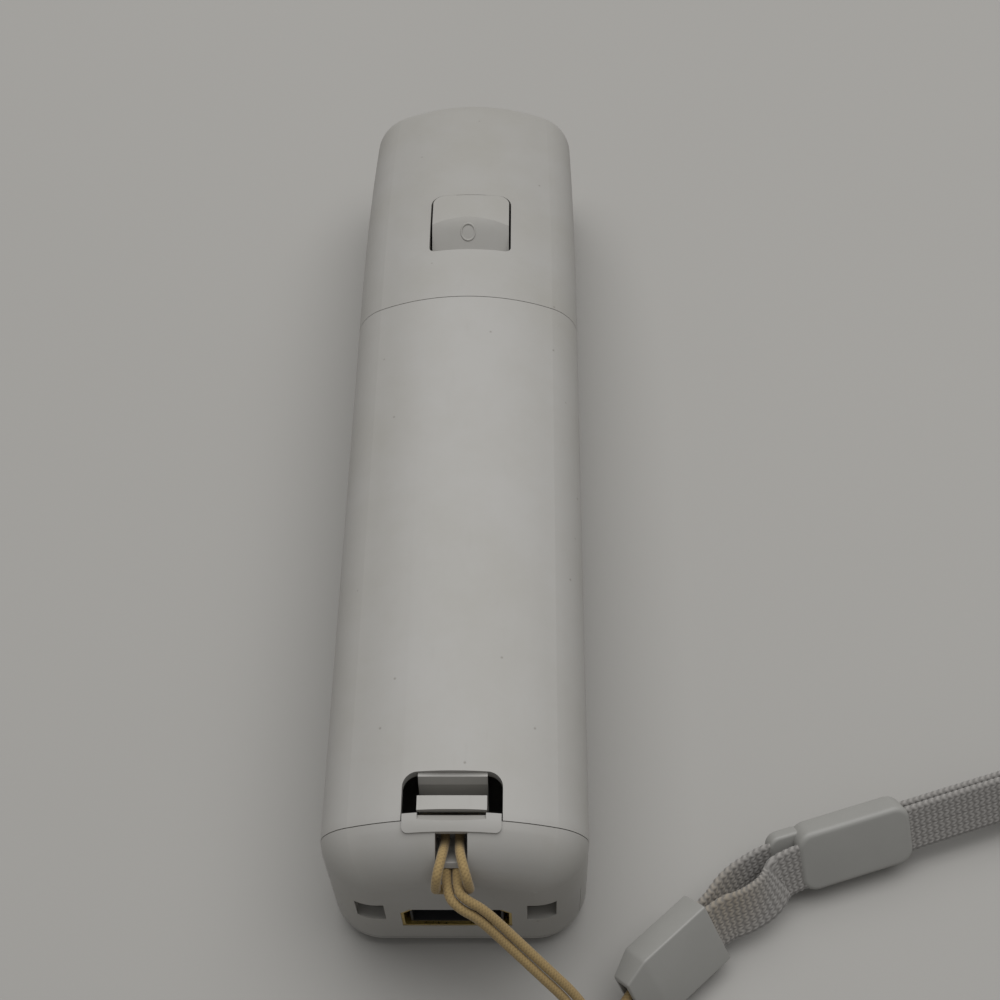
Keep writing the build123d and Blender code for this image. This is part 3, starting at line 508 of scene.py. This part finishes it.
# %% Slider
slider_size = Vector((17.3, 4.2, 9.6)) * mm
slider_corner = 2.4 * mm
slider_edge = 0.8 * mm
slider_wall = 0.15 * mm
slider_ahead = 0.35 * mm
mouth_size = Vector((6.0, 2.2, 8.8)) * mm
mouth_corner = 1.8 * mm
mouth_edge = 0.5 * mm
mouth_offset = Vector((-8.9, 1.0, 0.0)) * mm
slider_place = along_strap((56.0, -60.9, strap_rise), 17.5)
edge_slack = 0.01


def rounded_block(name, size, corner, round_off):
    """A block with wide end corners and softer edges round its two wide faces."""
    block = start_cube(name, size)
    pick(block, "EDGE", lambda e: abs(edge_middle(e).y) < edge_slack * size.y)
    bpy.ops.mesh.bevel(offset=corner, segments=8, profile=0.5)
    pick(block, "EDGE", lambda e: abs(edge_middle(e).y) > (0.5 - edge_slack) * size.y)
    bpy.ops.mesh.bevel(offset=round_off, segments=5, profile=0.5)
    return block


slider = rounded_block("moulded_slider", slider_size, slider_corner, slider_edge)
pick(slider, "FACE", lambda f: abs(f.normal.x) > square_on)
bpy.ops.mesh.inset(thickness=slider_wall)
bpy.ops.mesh.bridge_edge_loops()
put_in_place(slider, slider_place @ Matrix.Translation((slider_ahead, 0, 0)))
mouth = rounded_block("slider_mouth", mouth_size, mouth_corner, mouth_edge)
put_in_place(mouth, slider_place @ Matrix.Translation(mouth_offset))
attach(mouth, "strap_slider")
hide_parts("strap_slider")
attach(slider, "strap_slider")
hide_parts("strap_slider")
print("slider faces", len(slider.data.polygons), "mouth faces", len(mouth.data.polygons))

# %% [markdown]
# Now the strap's pieces are gathered in one list, each with its real length, its width and the
# pieces that it ends in. The cord's strands end in the joiner, and the band's strands in the
# slider. The hitch is too short to stand as a cord of its own, so it goes with the left strand as
# its knot.

hitch = cord_pieces["strap_cord_hitch"][0]
limp_pieces = [
    (cord_pieces["strap_cord_left"], cord_width, [joiner, hitch]),
    (cord_pieces["strap_cord_right"], cord_width, [joiner]),
]
limp_pieces += [(band_piece, band_width, [slider]) for band_piece in band_pieces]
print("limp pieces", [piece.name for (piece, _, _), _, _ in limp_pieces])

# %% [markdown]
# The expansion port has a thin gilt lining round a black plastic core, and a plug goes into the
# core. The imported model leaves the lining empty, so the core is made here: a cube whose outer
# face is inset and pushed in, which leaves a thin wall.

# %% Core of the port
core_size = Vector((12.8, 7.4, 5.7)) * mm
core_wall = 0.3 * mm
core_place = Vector((0, -69.7, 11.2)) * mm

core = start_cube("port_core", core_size)
pick(core, "FACE", lambda f: f.normal.y < -square_on)
bpy.ops.mesh.inset(thickness=core_wall)
bpy.ops.mesh.extrude_region_move(
    TRANSFORM_OT_translate={"value": (0, core_size.y - core_wall, 0)}
)
put_in_place(core, Matrix.Translation(core_place))
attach(core, "housing")
print("core faces", len(core.data.polygons))

# %% [markdown]
# The trigger's finger rest carries a plain raised ring. A torus is drawn to an oval and laid on
# the sloping face, half sunk in, so that it rises from the face with no edge to catch a finger.

# %% Ring on the trigger
ring_radius = 1.3 * mm
ring_thickness = 0.2 * mm
ring_shares = (0.88, 1.08, 0.7)
ring_place = Vector((0.0, 36.95, 29.6)) * mm
rest_climb = 0.574
rest_slope = math.atan2(rest_climb, 1.0)

bpy.ops.object.select_all(action="DESELECT")
bpy.ops.mesh.primitive_torus_add(
    major_radius=ring_radius, minor_radius=ring_thickness, major_segments=64, minor_segments=12
)
finger_ring = bpy.context.object
finger_ring.name = "finger_ring"
finger_ring.scale = ring_shares
bpy.ops.object.transform_apply(location=False, rotation=False, scale=True)
put_in_place(finger_ring, Matrix.Translation(ring_place) @ Matrix.Rotation(rest_slope, 4, "X"))
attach(finger_ring, "b_trigger")
print("ring faces", len(finger_ring.data.polygons))

# %% [markdown]
# The keys have printed marks: plain numbers, a plus, a minus, a power sign and plain rings. A
# picture of them would blur close up, so they are thin solids, a few hundredths of a millimetre
# proud of the key. They read from below, because the wand lies on its keys. These helpers draw
# a sign or a ring flat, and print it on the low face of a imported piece.

# %% Tools for printed marks
print_depth = 0.12 * mm
print_proud = 0.03 * mm
letter_steps = 4
ring_sides = 48
from_below = Matrix.Rotation(math.pi, 4, "Y")
marks = []


def low_face(node):
    """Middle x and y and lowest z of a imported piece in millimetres, rounded to a tenth,
    because the facets of a round piece move its middle by a few thousandths."""
    places = [v.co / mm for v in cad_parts[node].data.vertices]
    low = [min(p[i] for p in places) for i in range(3)]
    high = [max(p[i] for p in places) for i in range(3)]
    return round((low[0] + high[0]) / 2, 1), round((low[1] + high[1]) / 2, 1), round(low[2], 1)


def print_on(mark, node, body, x=0.0, y=0.0):
    """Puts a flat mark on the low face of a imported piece, off its middle by x and y."""
    bpy.ops.object.select_all(action="DESELECT")
    mark.select_set(True)
    bpy.context.view_layer.objects.active = mark
    skin = mark.modifiers.new("print", "SOLIDIFY")
    skin.thickness = print_depth
    skin.offset = -1.0
    bpy.ops.object.modifier_apply(modifier=skin.name)
    middle_x, middle_y, face = low_face(node)
    place = Matrix.Translation(((middle_x + x) * mm, (middle_y + y) * mm, face * mm - print_proud))
    mark.data.transform(place @ from_below)
    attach(mark, body)
    marks.append(mark)


def text_mark(name, words, size):
    """A plain sign of a size in millimetres, as a flat mesh about the origin."""
    bpy.ops.object.select_all(action="DESELECT")
    bpy.ops.object.text_add()
    mark = bpy.context.object
    mark.name = name
    mark.data.body = words
    mark.data.size = size * mm
    mark.data.resolution_u = letter_steps
    bpy.ops.object.convert(target="MESH")
    mark = bpy.context.object
    low = Vector([min(v.co[i] for v in mark.data.vertices) for i in range(3)])
    high = Vector([max(v.co[i] for v in mark.data.vertices) for i in range(3)])
    mark.data.transform(Matrix.Translation(-(low + high) / 2))
    return mark


def degrees_from_top(face):
    """How far round a flat ring a face lies from the ring's top."""
    middle = face.calc_center_median()
    return abs(math.degrees(math.atan2(middle.x, middle.y)))


def ring_mark(name, radius, width, gap=0.0):
    """A flat ring about the origin, in millimetres, open at its top by a gap in degrees."""
    bpy.ops.object.select_all(action="DESELECT")
    bpy.ops.mesh.primitive_circle_add(
        vertices=ring_sides, radius=radius * mm, fill_type="NGON"
    )
    mark = bpy.context.object
    mark.name = name
    bpy.ops.object.mode_set(mode="EDIT")
    bpy.ops.mesh.select_all(action="SELECT")
    bpy.ops.mesh.inset(thickness=width * mm)
    bpy.ops.mesh.delete(type="FACE")
    if gap:
        pick(mark, "FACE", lambda f: degrees_from_top(f) < gap / 2)
        bpy.ops.mesh.delete(type="FACE")
    bpy.ops.object.mode_set(mode="OBJECT")
    return mark


# %% [markdown]
# A key's sign goes in its middle, so a mark needs no place of its own. The power sign is a
# ring open at the top with a short bar in the gap. Below each of the four lamps stand one to
# four dots, which number it.

# %% Printed marks
lamp_count = 4
lamp_gap = 5.2
dot_gap = 0.9
dot_radius = 0.28
dot_ring = 0.2
dots_below_lamps = 3.2
power_bar_rise = 1.0

print_on(text_mark("mark_one", "1", 4.2), "one_button", "one_button")
print_on(text_mark("mark_two", "2", 4.2), "two_button", "two_button")
print_on(text_mark("mark_plus", "+", 4.6), "plus_button", "plus_button")
print_on(text_mark("mark_minus", "-", 5.4), "minus_button", "minus_button")
print_on(ring_mark("mark_main", 3.0, 0.35), "a_button", "a_button")
print_on(ring_mark("mark_home", 1.5, 0.3), "home_button", "home_button")
print_on(ring_mark("mark_power_ring", 1.3, 0.28, 70.0), "power_button", "power_button")
print_on(text_mark("mark_power_bar", "|", 2.0), "power_button", "power_button", y=power_bar_rise)
for lamp in range(lamp_count):
    for dot in range(lamp + 1):
        dot_x = ((lamp_count - 1) / 2 - lamp) * lamp_gap + (dot - lamp / 2) * dot_gap
        dot_mark = ring_mark(f"mark_lamp_{lamp}_{dot}", dot_radius, dot_ring)
        print_on(dot_mark, "light_pipes", "housing", dot_x, -dots_below_lamps)
print("marks", len(marks))

# %% [markdown]
# Finishes start here. Every colour is written as it looks on a screen, and one function turns
# it to the linear values that Blender works with. A second adds a node with its settings and
# links. A third starts a finish, and hands back the place on the object that patterns read, so
# that a pattern stays on its piece when the piece moves.


# %% Colour and nodes
def linear(hex_colour):
    """A screen colour such as #A0A0A0 as linear red, green, blue and 1."""
    parts = [int(hex_colour[n : n + 2], 16) / 255 for n in (1, 3, 5)]
    return [p / 12.92 if p <= 0.04045 else ((p + 0.055) / 1.055) ** 2.4 for p in parts] + [1.0]


def add_node(tree, kind, settings=None, links=None):
    """Adds a node, sets its values by name or number, and joins its inputs to outputs."""
    made = tree.nodes.new(kind)
    for name, value in (settings or {}).items():
        if isinstance(name, str) and hasattr(made, name):
            setattr(made, name, value)
        else:
            made.inputs[name].default_value = value
    for name, output in (links or {}).items():
        tree.links.new(output, made.inputs[name])
    return made


def start_finish(name, colour, roughness, **values):
    """A new finish: its material, node tree, shader and the place that patterns read."""
    finish = bpy.data.materials.new(name)
    finish.use_nodes = True
    tree = finish.node_tree
    shader = tree.nodes["Principled BSDF"]
    shader.inputs["Base Color"].default_value = linear(colour)
    shader.inputs["Roughness"].default_value = roughness
    for key, value in values.items():
        shader.inputs[key.replace("_", " ")].default_value = value
    place = add_node(tree, "ShaderNodeTexCoord").outputs["Object"]
    return finish, tree, shader, place


print("the shells' grey, made linear", [round(c, 3) for c in linear("#A09E9A")])

# %% [markdown]
# The shells are white ABS with a satin, slightly grained surface from the mould. Years of use
# leave a faint mottling in clouds of about two centimetres, a few dark specks five millimetres
# or more apart, and short hair-fine scratches. The scratches only change the gloss and the
# height a little. The mould's grain is under a tenth of a millimetre on the real shell, too
# fine to show, so it is drawn about three times as coarse.

# %% Moulded ABS of the shells and keys
mottle_size = 18.0 * mm
speck_spacing = 5.0 * mm
speck_colour = "#6F6B62"
scratch_cell = (0.55 * mm, 6.5 * mm, 2.5 * mm)
scratch_turn = math.radians(24)
scratch_dullness = 0.22
mould_grain = 0.29 * mm
mould_relief = 0.03 * mm


def moulded_abs(name, colour, stained, roughness, scratched):
    """Satin ABS, mottled towards a second colour, with specks, scratches and a fine grain."""
    finish, tree, shader, place = start_finish(name, colour, roughness, IOR=1.53)
    cloud = add_node(
        tree,
        "ShaderNodeTexNoise",
        {"Scale": 1 / mottle_size, "Detail": 5.0, "Roughness": 0.6},
        {"Vector": place},
    )
    cloud_part = add_node(
        tree,
        "ShaderNodeMapRange",
        {"From Min": 0.4, "From Max": 0.75, "To Min": 0.0, "To Max": 0.55},
        {"Value": cloud.outputs["Fac"]},
    )
    mottled = add_node(
        tree,
        "ShaderNodeMixRGB",
        {"Color1": linear(colour), "Color2": linear(stained)},
        {"Fac": cloud_part.outputs["Result"]},
    )
    specks = add_node(
        tree,
        "ShaderNodeTexVoronoi",
        {"Scale": 1 / speck_spacing, "Randomness": 1.0},
        {"Vector": place},
    )
    speck_part = add_node(
        tree,
        "ShaderNodeMapRange",
        {"From Min": 0.02, "From Max": 0.05, "To Min": 0.6, "To Max": 0.0},
        {"Value": specks.outputs["Distance"]},
    )
    dusty = add_node(
        tree,
        "ShaderNodeMixRGB",
        {"Color2": linear(speck_colour)},
        {"Fac": speck_part.outputs["Result"], "Color1": mottled.outputs["Color"]},
    )
    tree.links.new(dusty.outputs["Color"], shader.inputs["Base Color"])
    turned = add_node(
        tree,
        "ShaderNodeMapping",
        {"Rotation": (0.0, 0.0, scratch_turn), "Scale": [1 / size for size in scratch_cell]},
        {"Vector": place},
    )
    hairs = add_node(
        tree,
        "ShaderNodeTexNoise",
        {"Scale": 1.0, "Detail": 2.0},
        {"Vector": turned.outputs["Vector"]},
    )
    hair_part = add_node(
        tree,
        "ShaderNodeMapRange",
        {"From Min": 0.66, "From Max": 0.72, "To Min": 0.0, "To Max": scratched},
        {"Value": hairs.outputs["Fac"]},
    )
    gloss = add_node(
        tree,
        "ShaderNodeMath",
        {"operation": "MULTIPLY_ADD", 1: scratch_dullness, 2: roughness},
        {0: hair_part.outputs["Result"]},
    )
    tree.links.new(gloss.outputs["Value"], shader.inputs["Roughness"])
    grain = add_node(
        tree, "ShaderNodeTexNoise", {"Scale": 1 / mould_grain, "Detail": 2.0}, {"Vector": place}
    )
    height = add_node(
        tree,
        "ShaderNodeMath",
        {"operation": "MULTIPLY_ADD", 1: -0.5},
        {0: hair_part.outputs["Result"], 2: grain.outputs["Fac"]},
    )
    relief = add_node(
        tree,
        "ShaderNodeBump",
        {"Strength": 0.12, "Distance": mould_relief},
        {"Height": height.outputs["Value"]},
    )
    tree.links.new(relief.outputs["Normal"], shader.inputs["Normal"])
    return finish


shell_abs = moulded_abs("satin_abs", "#A09E9A", "#959289", 0.45, 0.35)
cover_abs = moulded_abs("rubbed_abs", "#A2A09C", "#97948C", 0.42, 0.35)
key_abs = moulded_abs("key_abs", "#BAB9B6", "#B1AFA9", 0.36, 0.3)
print("ABS finishes", shell_abs.name, cover_abs.name, key_abs.name)

# %% [markdown]
# The clasps are moulded in grey polypropylene with a fine matt grain, and the dark housings
# of inner parts are black polystyrene. Rubber pads, the smoked window, the printed ink and the
# sintered weight differ only in colour, gloss and grain. So one recipe serves them all: a fine
# grain for the height, and a slight drift of colour over some millimetres. The grain is drawn
# at a fifth to two fifths of a millimetre, coarser than it is, so that it shows. The polished
# window has faint waves two millimetres wide instead.

# %% Grained plastics, rubber and ink
drift_size = 5.5 * mm
grain_height_share = 0.15


def let_drift(tree, shader, place, first, second, cloud_size, detail):
    """Lets the shader's colour drift between two tones, in clouds of a size."""
    cloud = add_node(
        tree, "ShaderNodeTexNoise", {"Scale": 1 / cloud_size, "Detail": detail}, {"Vector": place}
    )
    mixed = add_node(
        tree,
        "ShaderNodeMixRGB",
        {"Color1": linear(first), "Color2": linear(second)},
        {"Fac": cloud.outputs["Fac"]},
    )
    tree.links.new(mixed.outputs["Color"], shader.inputs["Base Color"])


def grained(name, colour, second, roughness, grain_size, depth, **values):
    """A matt moulded finish with a grain of a given size."""
    finish, tree, shader, place = start_finish(name, colour, roughness, **values)
    let_drift(tree, shader, place, colour, second, drift_size, 4.0)
    grain = add_node(
        tree, "ShaderNodeTexNoise", {"Scale": 1 / grain_size, "Detail": 2.0}, {"Vector": place}
    )
    relief = add_node(
        tree,
        "ShaderNodeBump",
        {"Strength": depth, "Distance": grain_size * grain_height_share},
        {"Height": grain.outputs["Fac"]},
    )
    tree.links.new(relief.outputs["Normal"], shader.inputs["Normal"])
    return finish


clasp_plastic = grained("grey_polypropylene", "#969591", "#8F8E8A", 0.45, 0.3 * mm, 0.25)
black_plastic = grained("black_polystyrene", "#1B1B1D", "#242425", 0.5, 0.3 * mm, 0.2)
ink = grained("grey_print", "#7C8084", "#75797D", 0.6, 0.2 * mm, 0.1)
pad_rubber = grained("silicone_rubber", "#8E9294", "#868A8C", 0.7, 0.4 * mm, 0.2)
window_plastic = grained(
    "dark_acrylic", "#0D0A0C", "#120D10", 0.12, 2.0 * mm, 0.05, Coat_Weight=0.6
)
weight_metal = grained(
    "sintered_metal", "#6E6C69", "#5E5C5A", 0.5, 0.2 * mm, 0.5, Metallic=1.0
)
lamp_chip = grained("lamp_chip", "#E8E4C8", "#DCD8B8", 0.4, 0.4 * mm, 0.1)
moulded = (clasp_plastic, black_plastic, ink, pad_rubber, window_plastic, weight_metal, lamp_chip)
print("grained finishes", [finish.name for finish in moulded])

# %% [markdown]
# The cord is a polyester braid of a golden tan, and the band a grey knit. Both are lighter where
# the yarn stands out and darker between the stitches, and that darkening is painted shade. The
# dip that was kept on each point of the mesh says where the hollows are, so the painted shade
# can't slip off the shape. A fine noise adds the loose fibres, drawn about ten times as coarse
# as real ones so that they show, and each has one soiled place.

# %% Braid and knit
fibre_size = 0.19 * mm
fibre_relief = 0.05 * mm
stain_core = 2.0 * mm
stain_reach = 8.0 * mm


def yarn(name, raised, fibre_tone_and_shade, stain, stain_place):
    """A woven finish with painted shade between the stitches. The stain fades out over some
    millimetres round its place.
    """
    finish, tree, shader, place = start_finish(
        name, raised, 0.88, Sheen_Weight=0.2, Sheen_Roughness=0.5
    )
    # Painted shade: the dip of each point sets how far the colour is darkened towards the second
    # tone in the hollows between the stitches.
    depth = add_node(tree, "ShaderNodeAttribute", {"attribute_name": "dip"})
    painted_shade_share = add_node(
        tree,
        "ShaderNodeMapRange",
        {"From Min": 0.0, "From Max": 1.0, "To Min": 0.0, "To Max": 0.9},
        {"Value": depth.outputs["Fac"]},
    )
    fibres = add_node(
        tree, "ShaderNodeTexNoise", {"Scale": 1 / fibre_size, "Detail": 3.0}, {"Vector": place}
    )
    fibre_part = add_node(
        tree,
        "ShaderNodeMapRange",
        {"From Min": 0.3, "From Max": 0.7, "To Min": 0.0, "To Max": 0.35},
        {"Value": fibres.outputs["Fac"]},
    )
    fuzzy = add_node(
        tree,
        "ShaderNodeMixRGB",
        {"Color1": linear(raised), "Color2": linear(fibre_tone_and_shade)},
        {"Fac": fibre_part.outputs["Result"]},
    )
    reach = add_node(
        tree, "ShaderNodeVectorMath", {"operation": "DISTANCE", 1: stain_place}, {0: place}
    )
    stain_part = add_node(
        tree,
        "ShaderNodeMapRange",
        {"From Min": stain_core, "From Max": stain_reach, "To Min": 0.5, "To Max": 0.0},
        {"Value": reach.outputs["Value"]},
    )
    stained = add_node(
        tree,
        "ShaderNodeMixRGB",
        {"Color2": linear(stain)},
        {"Fac": stain_part.outputs["Result"], "Color1": fuzzy.outputs["Color"]},
    )
    # This mix paints the shade between the stitches.
    deep = add_node(
        tree,
        "ShaderNodeMixRGB",
        {"Color2": linear(fibre_tone_and_shade)},
        {"Fac": painted_shade_share.outputs["Result"], "Color1": stained.outputs["Color"]},
    )
    tree.links.new(deep.outputs["Color"], shader.inputs["Base Color"])
    relief = add_node(
        tree,
        "ShaderNodeBump",
        {"Strength": 0.35, "Distance": fibre_relief},
        {"Height": fibres.outputs["Fac"]},
    )
    tree.links.new(relief.outputs["Normal"], shader.inputs["Normal"])
    return finish


cord_stain = Vector((24.0, -85.0, 4.0)) * mm
band_stain = Vector((37.5, -71.2, 10.0)) * mm
# Each yarn's second colour is both the tone of its darker fibres and its painted shade between the
# stitches.
cord_braid = yarn("polyester_braid", "#A68D5E", "#73603D", "#806D4B", cord_stain)
band_knit = yarn("grey_knit", "#A4A19D", "#6B6865", "#988768", band_stain)
print("yarn finishes", cord_braid.name, band_knit.name)

# %% [markdown]
# Metal parts are plated steel, drawn spring wire or gilt contacts. All of them come out of a
# press or a die with a skin that is never even, so a fine noise breaks their gloss. A plain
# low roughness would make them look like mirrors.

# %% Metals
dullest_share = 1.3
brightest_share = 0.8


def stamped(name, colour, roughness, grain_size):
    """A pressed or drawn metal whose gloss varies with a fine noise."""
    finish, tree, shader, place = start_finish(name, colour, roughness, Metallic=1.0)
    wear = add_node(
        tree, "ShaderNodeTexNoise", {"Scale": 1 / grain_size, "Detail": 4.0}, {"Vector": place}
    )
    low = roughness * brightest_share
    high = roughness * dullest_share
    gloss = add_node(
        tree,
        "ShaderNodeMapRange",
        {"From Min": 0.3, "From Max": 0.7, "To Min": low, "To Max": high},
        {"Value": wear.outputs["Fac"]},
    )
    tree.links.new(gloss.outputs["Result"], shader.inputs["Roughness"])
    relief = add_node(
        tree,
        "ShaderNodeBump",
        {"Strength": 0.1, "Distance": grain_size * 0.1},
        {"Height": wear.outputs["Fac"]},
    )
    tree.links.new(relief.outputs["Normal"], shader.inputs["Normal"])
    return finish


plated_steel = stamped("plated_steel", "#C9C9C7", 0.3, 0.6 * mm)
spring_wire = stamped("drawn_wire", "#B8B8B6", 0.25, 0.3 * mm)
gilt = stamped("gilt_contact", "#C9B06A", 0.32, 0.5 * mm)
print("metal finishes", plated_steel.name, spring_wire.name, gilt.name)

# %% [markdown]
# The board has green lacquer over copper tracks. Nobody can follow them under the case, so a
# brick pattern stands for them: rows about a millimetre high with thin lighter lines between.
# The cells have a shrunk blue film, glossy and a little uneven. Clear keys and light pipes are
# moulded acrylic, whose faint flow marks bend the light.

# %% Board, cell sleeves and clear plastic
track_cell = 3.85 * mm
film_cloud = 1.1 * mm
flow_size = 2.9 * mm
flow_relief = 0.1 * mm

lacquer, lacquer_tree, lacquer_shader, lacquer_place = start_finish(
    "board_lacquer", "#15402B", 0.35, Coat_Weight=0.3
)
tracks = add_node(
    lacquer_tree,
    "ShaderNodeTexBrick",
    {
        "Scale": 1 / track_cell,
        "Color1": linear("#1B5137"),
        "Color2": linear("#174A31"),
        "Mortar": linear("#2B6B49"),
        "Mortar Size": 0.03,
    },
    {"Vector": lacquer_place},
)
lacquer_tree.links.new(tracks.outputs["Color"], lacquer_shader.inputs["Base Color"])

sleeve, sleeve_tree, sleeve_shader, sleeve_place = start_finish(
    "cell_sleeve", "#27496B", 0.25, Coat_Weight=0.3
)
let_drift(sleeve_tree, sleeve_shader, sleeve_place, "#24466A", "#2C5078", film_cloud, 3.0)


def clear_plastic(name, colour, roughness):
    """A clear moulded plastic with faint flow marks."""
    finish, tree, shader, place = start_finish(
        name, colour, roughness, IOR=1.49, Transmission_Weight=0.85
    )
    flow = add_node(tree, "ShaderNodeTexNoise", {"Scale": 1 / flow_size}, {"Vector": place})
    relief = add_node(
        tree,
        "ShaderNodeBump",
        {"Strength": 0.05, "Distance": flow_relief},
        {"Height": flow.outputs["Fac"]},
    )
    tree.links.new(relief.outputs["Normal"], shader.inputs["Normal"])
    return finish


clear_key = clear_plastic("clear_acrylic", "#DDE3E6", 0.08)
blue_pipe = clear_plastic("blue_acrylic", "#9DB8E0", 0.12)
print("inner finishes", lacquer.name, sleeve.name, clear_key.name, blue_pipe.name)

# %% [markdown]
# Each piece now takes its finish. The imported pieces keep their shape, and only the material in
# their slots changes. The list goes by finish, as a workshop would sort the parts for paint.

# %% Give every piece its finish
packed_in = (
    (shell_abs, ("front_case", "rear_case", "b_trigger")),
    (cover_abs, ("battery_cover",)),
    (key_abs, ("power_button", "direction_pad", "minus_button", "home_button")),
    (key_abs, ("plus_button", "one_button", "two_button", "sync_button")),
    (clear_key, ("a_button", "camera_lens")),
    (pad_rubber, ("power_pad", "direction_contacts", "a_pad", "minus_pad", "home_pad")),
    (pad_rubber, ("plus_pad", "one_pad", "two_pad", "trigger_pad", "motor_cradle")),
    (window_plastic, ("ir_window",)),
    (black_plastic, ("processor_chip", "motion_sensor", "memory_chip")),
    (black_plastic, ("power_regulator", "camera_module", "speaker")),
    (lamp_chip, ("player_lights",)),
    (blue_pipe, ("light_pipes",)),
    (lacquer, ("main_board",)),
    (sleeve, ("cell_left", "cell_right")),
    (plated_steel, ("trigger_pin", "board_screws", "case_screws", "radio_module")),
    (plated_steel, ("clock_crystal", "capacitor", "sync_switch")),
    (plated_steel, ("battery_plates", "rumble_motor", "rumble_shaft")),
    (spring_wire, ("trigger_spring", "battery_springs")),
    (gilt, ("expansion_shell", "expansion_contacts")),
    (weight_metal, ("rumble_weight",)),
)
for finish, nodes in packed_in:
    for node in nodes:
        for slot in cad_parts[node].material_slots:
            slot.material = finish
dressed = {node for _, nodes in packed_in for node in nodes}
print("packed pieces with a finish", len(dressed))
print("stood for by new pieces", sorted(set(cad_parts) - dressed))

for mark in marks:
    mark.data.materials.clear()
for finish, pieces in (
    (cord_braid, [piece for piece, _, _ in cord_pieces.values()]),
    (band_knit, [piece for piece, _, _ in band_pieces]),
    (clasp_plastic, [joiner, slider, mouth]),
    (shell_abs, [finger_ring]),
    (black_plastic, [core]),
    (ink, marks),
):
    for piece in pieces:
        piece.data.materials.append(finish)

# %% [markdown]
# The table is a plain pale sheet, so a plane does for it, in clouds of colour as wide as a
# hand. A wide, soft lamp hangs over the wand and a little behind it, and a pale surround fills
# the shadows, so colours come out about as they are written.

# %% Table and light
table_span = 4.0
table_drop = 0.1 * mm
table_cloud = 170.0 * mm
lamp_place = (0.1, 0.45, 1.25)
lamp_width = 2.0
lamp_depth = 1.4
lamp_watts = 19.0
surround_strength = 0.27

bpy.ops.object.select_all(action="DESELECT")
bpy.ops.mesh.primitive_plane_add(size=table_span, location=(0, 0, -table_drop))
table = bpy.context.object
table.name = "table"
table_paint, table_tree, table_shader, table_place = start_finish("table_paint", "#A09E9A", 0.6)
let_drift(table_tree, table_shader, table_place, "#A2A09C", "#9D9B97", table_cloud, 4.0)
table.data.materials.append(table_paint)

bpy.ops.object.light_add(type="AREA", location=lamp_place)
lamp = bpy.context.object
lamp.name = "soft_lamp"
lamp.data.shape = "RECTANGLE"
lamp.data.size = lamp_width
lamp.data.size_y = lamp_depth
lamp.data.energy = lamp_watts
lamp.rotation_euler = (-lamp.location).to_track_quat("-Z", "Y").to_euler()

surround = bpy.data.worlds.new("surround")
surround.use_nodes = True
surround_glow = surround.node_tree.nodes["Background"]
surround_glow.inputs["Color"].default_value = (1.0, 1.0, 1.0, 1.0)
surround_glow.inputs["Strength"].default_value = surround_strength
bpy.context.scene.world = surround
bpy.context.scene.view_settings.view_transform = "Standard"
print("lamp", [round(c, 2) for c in lamp.location], "energy", round(lamp.data.energy, 1))
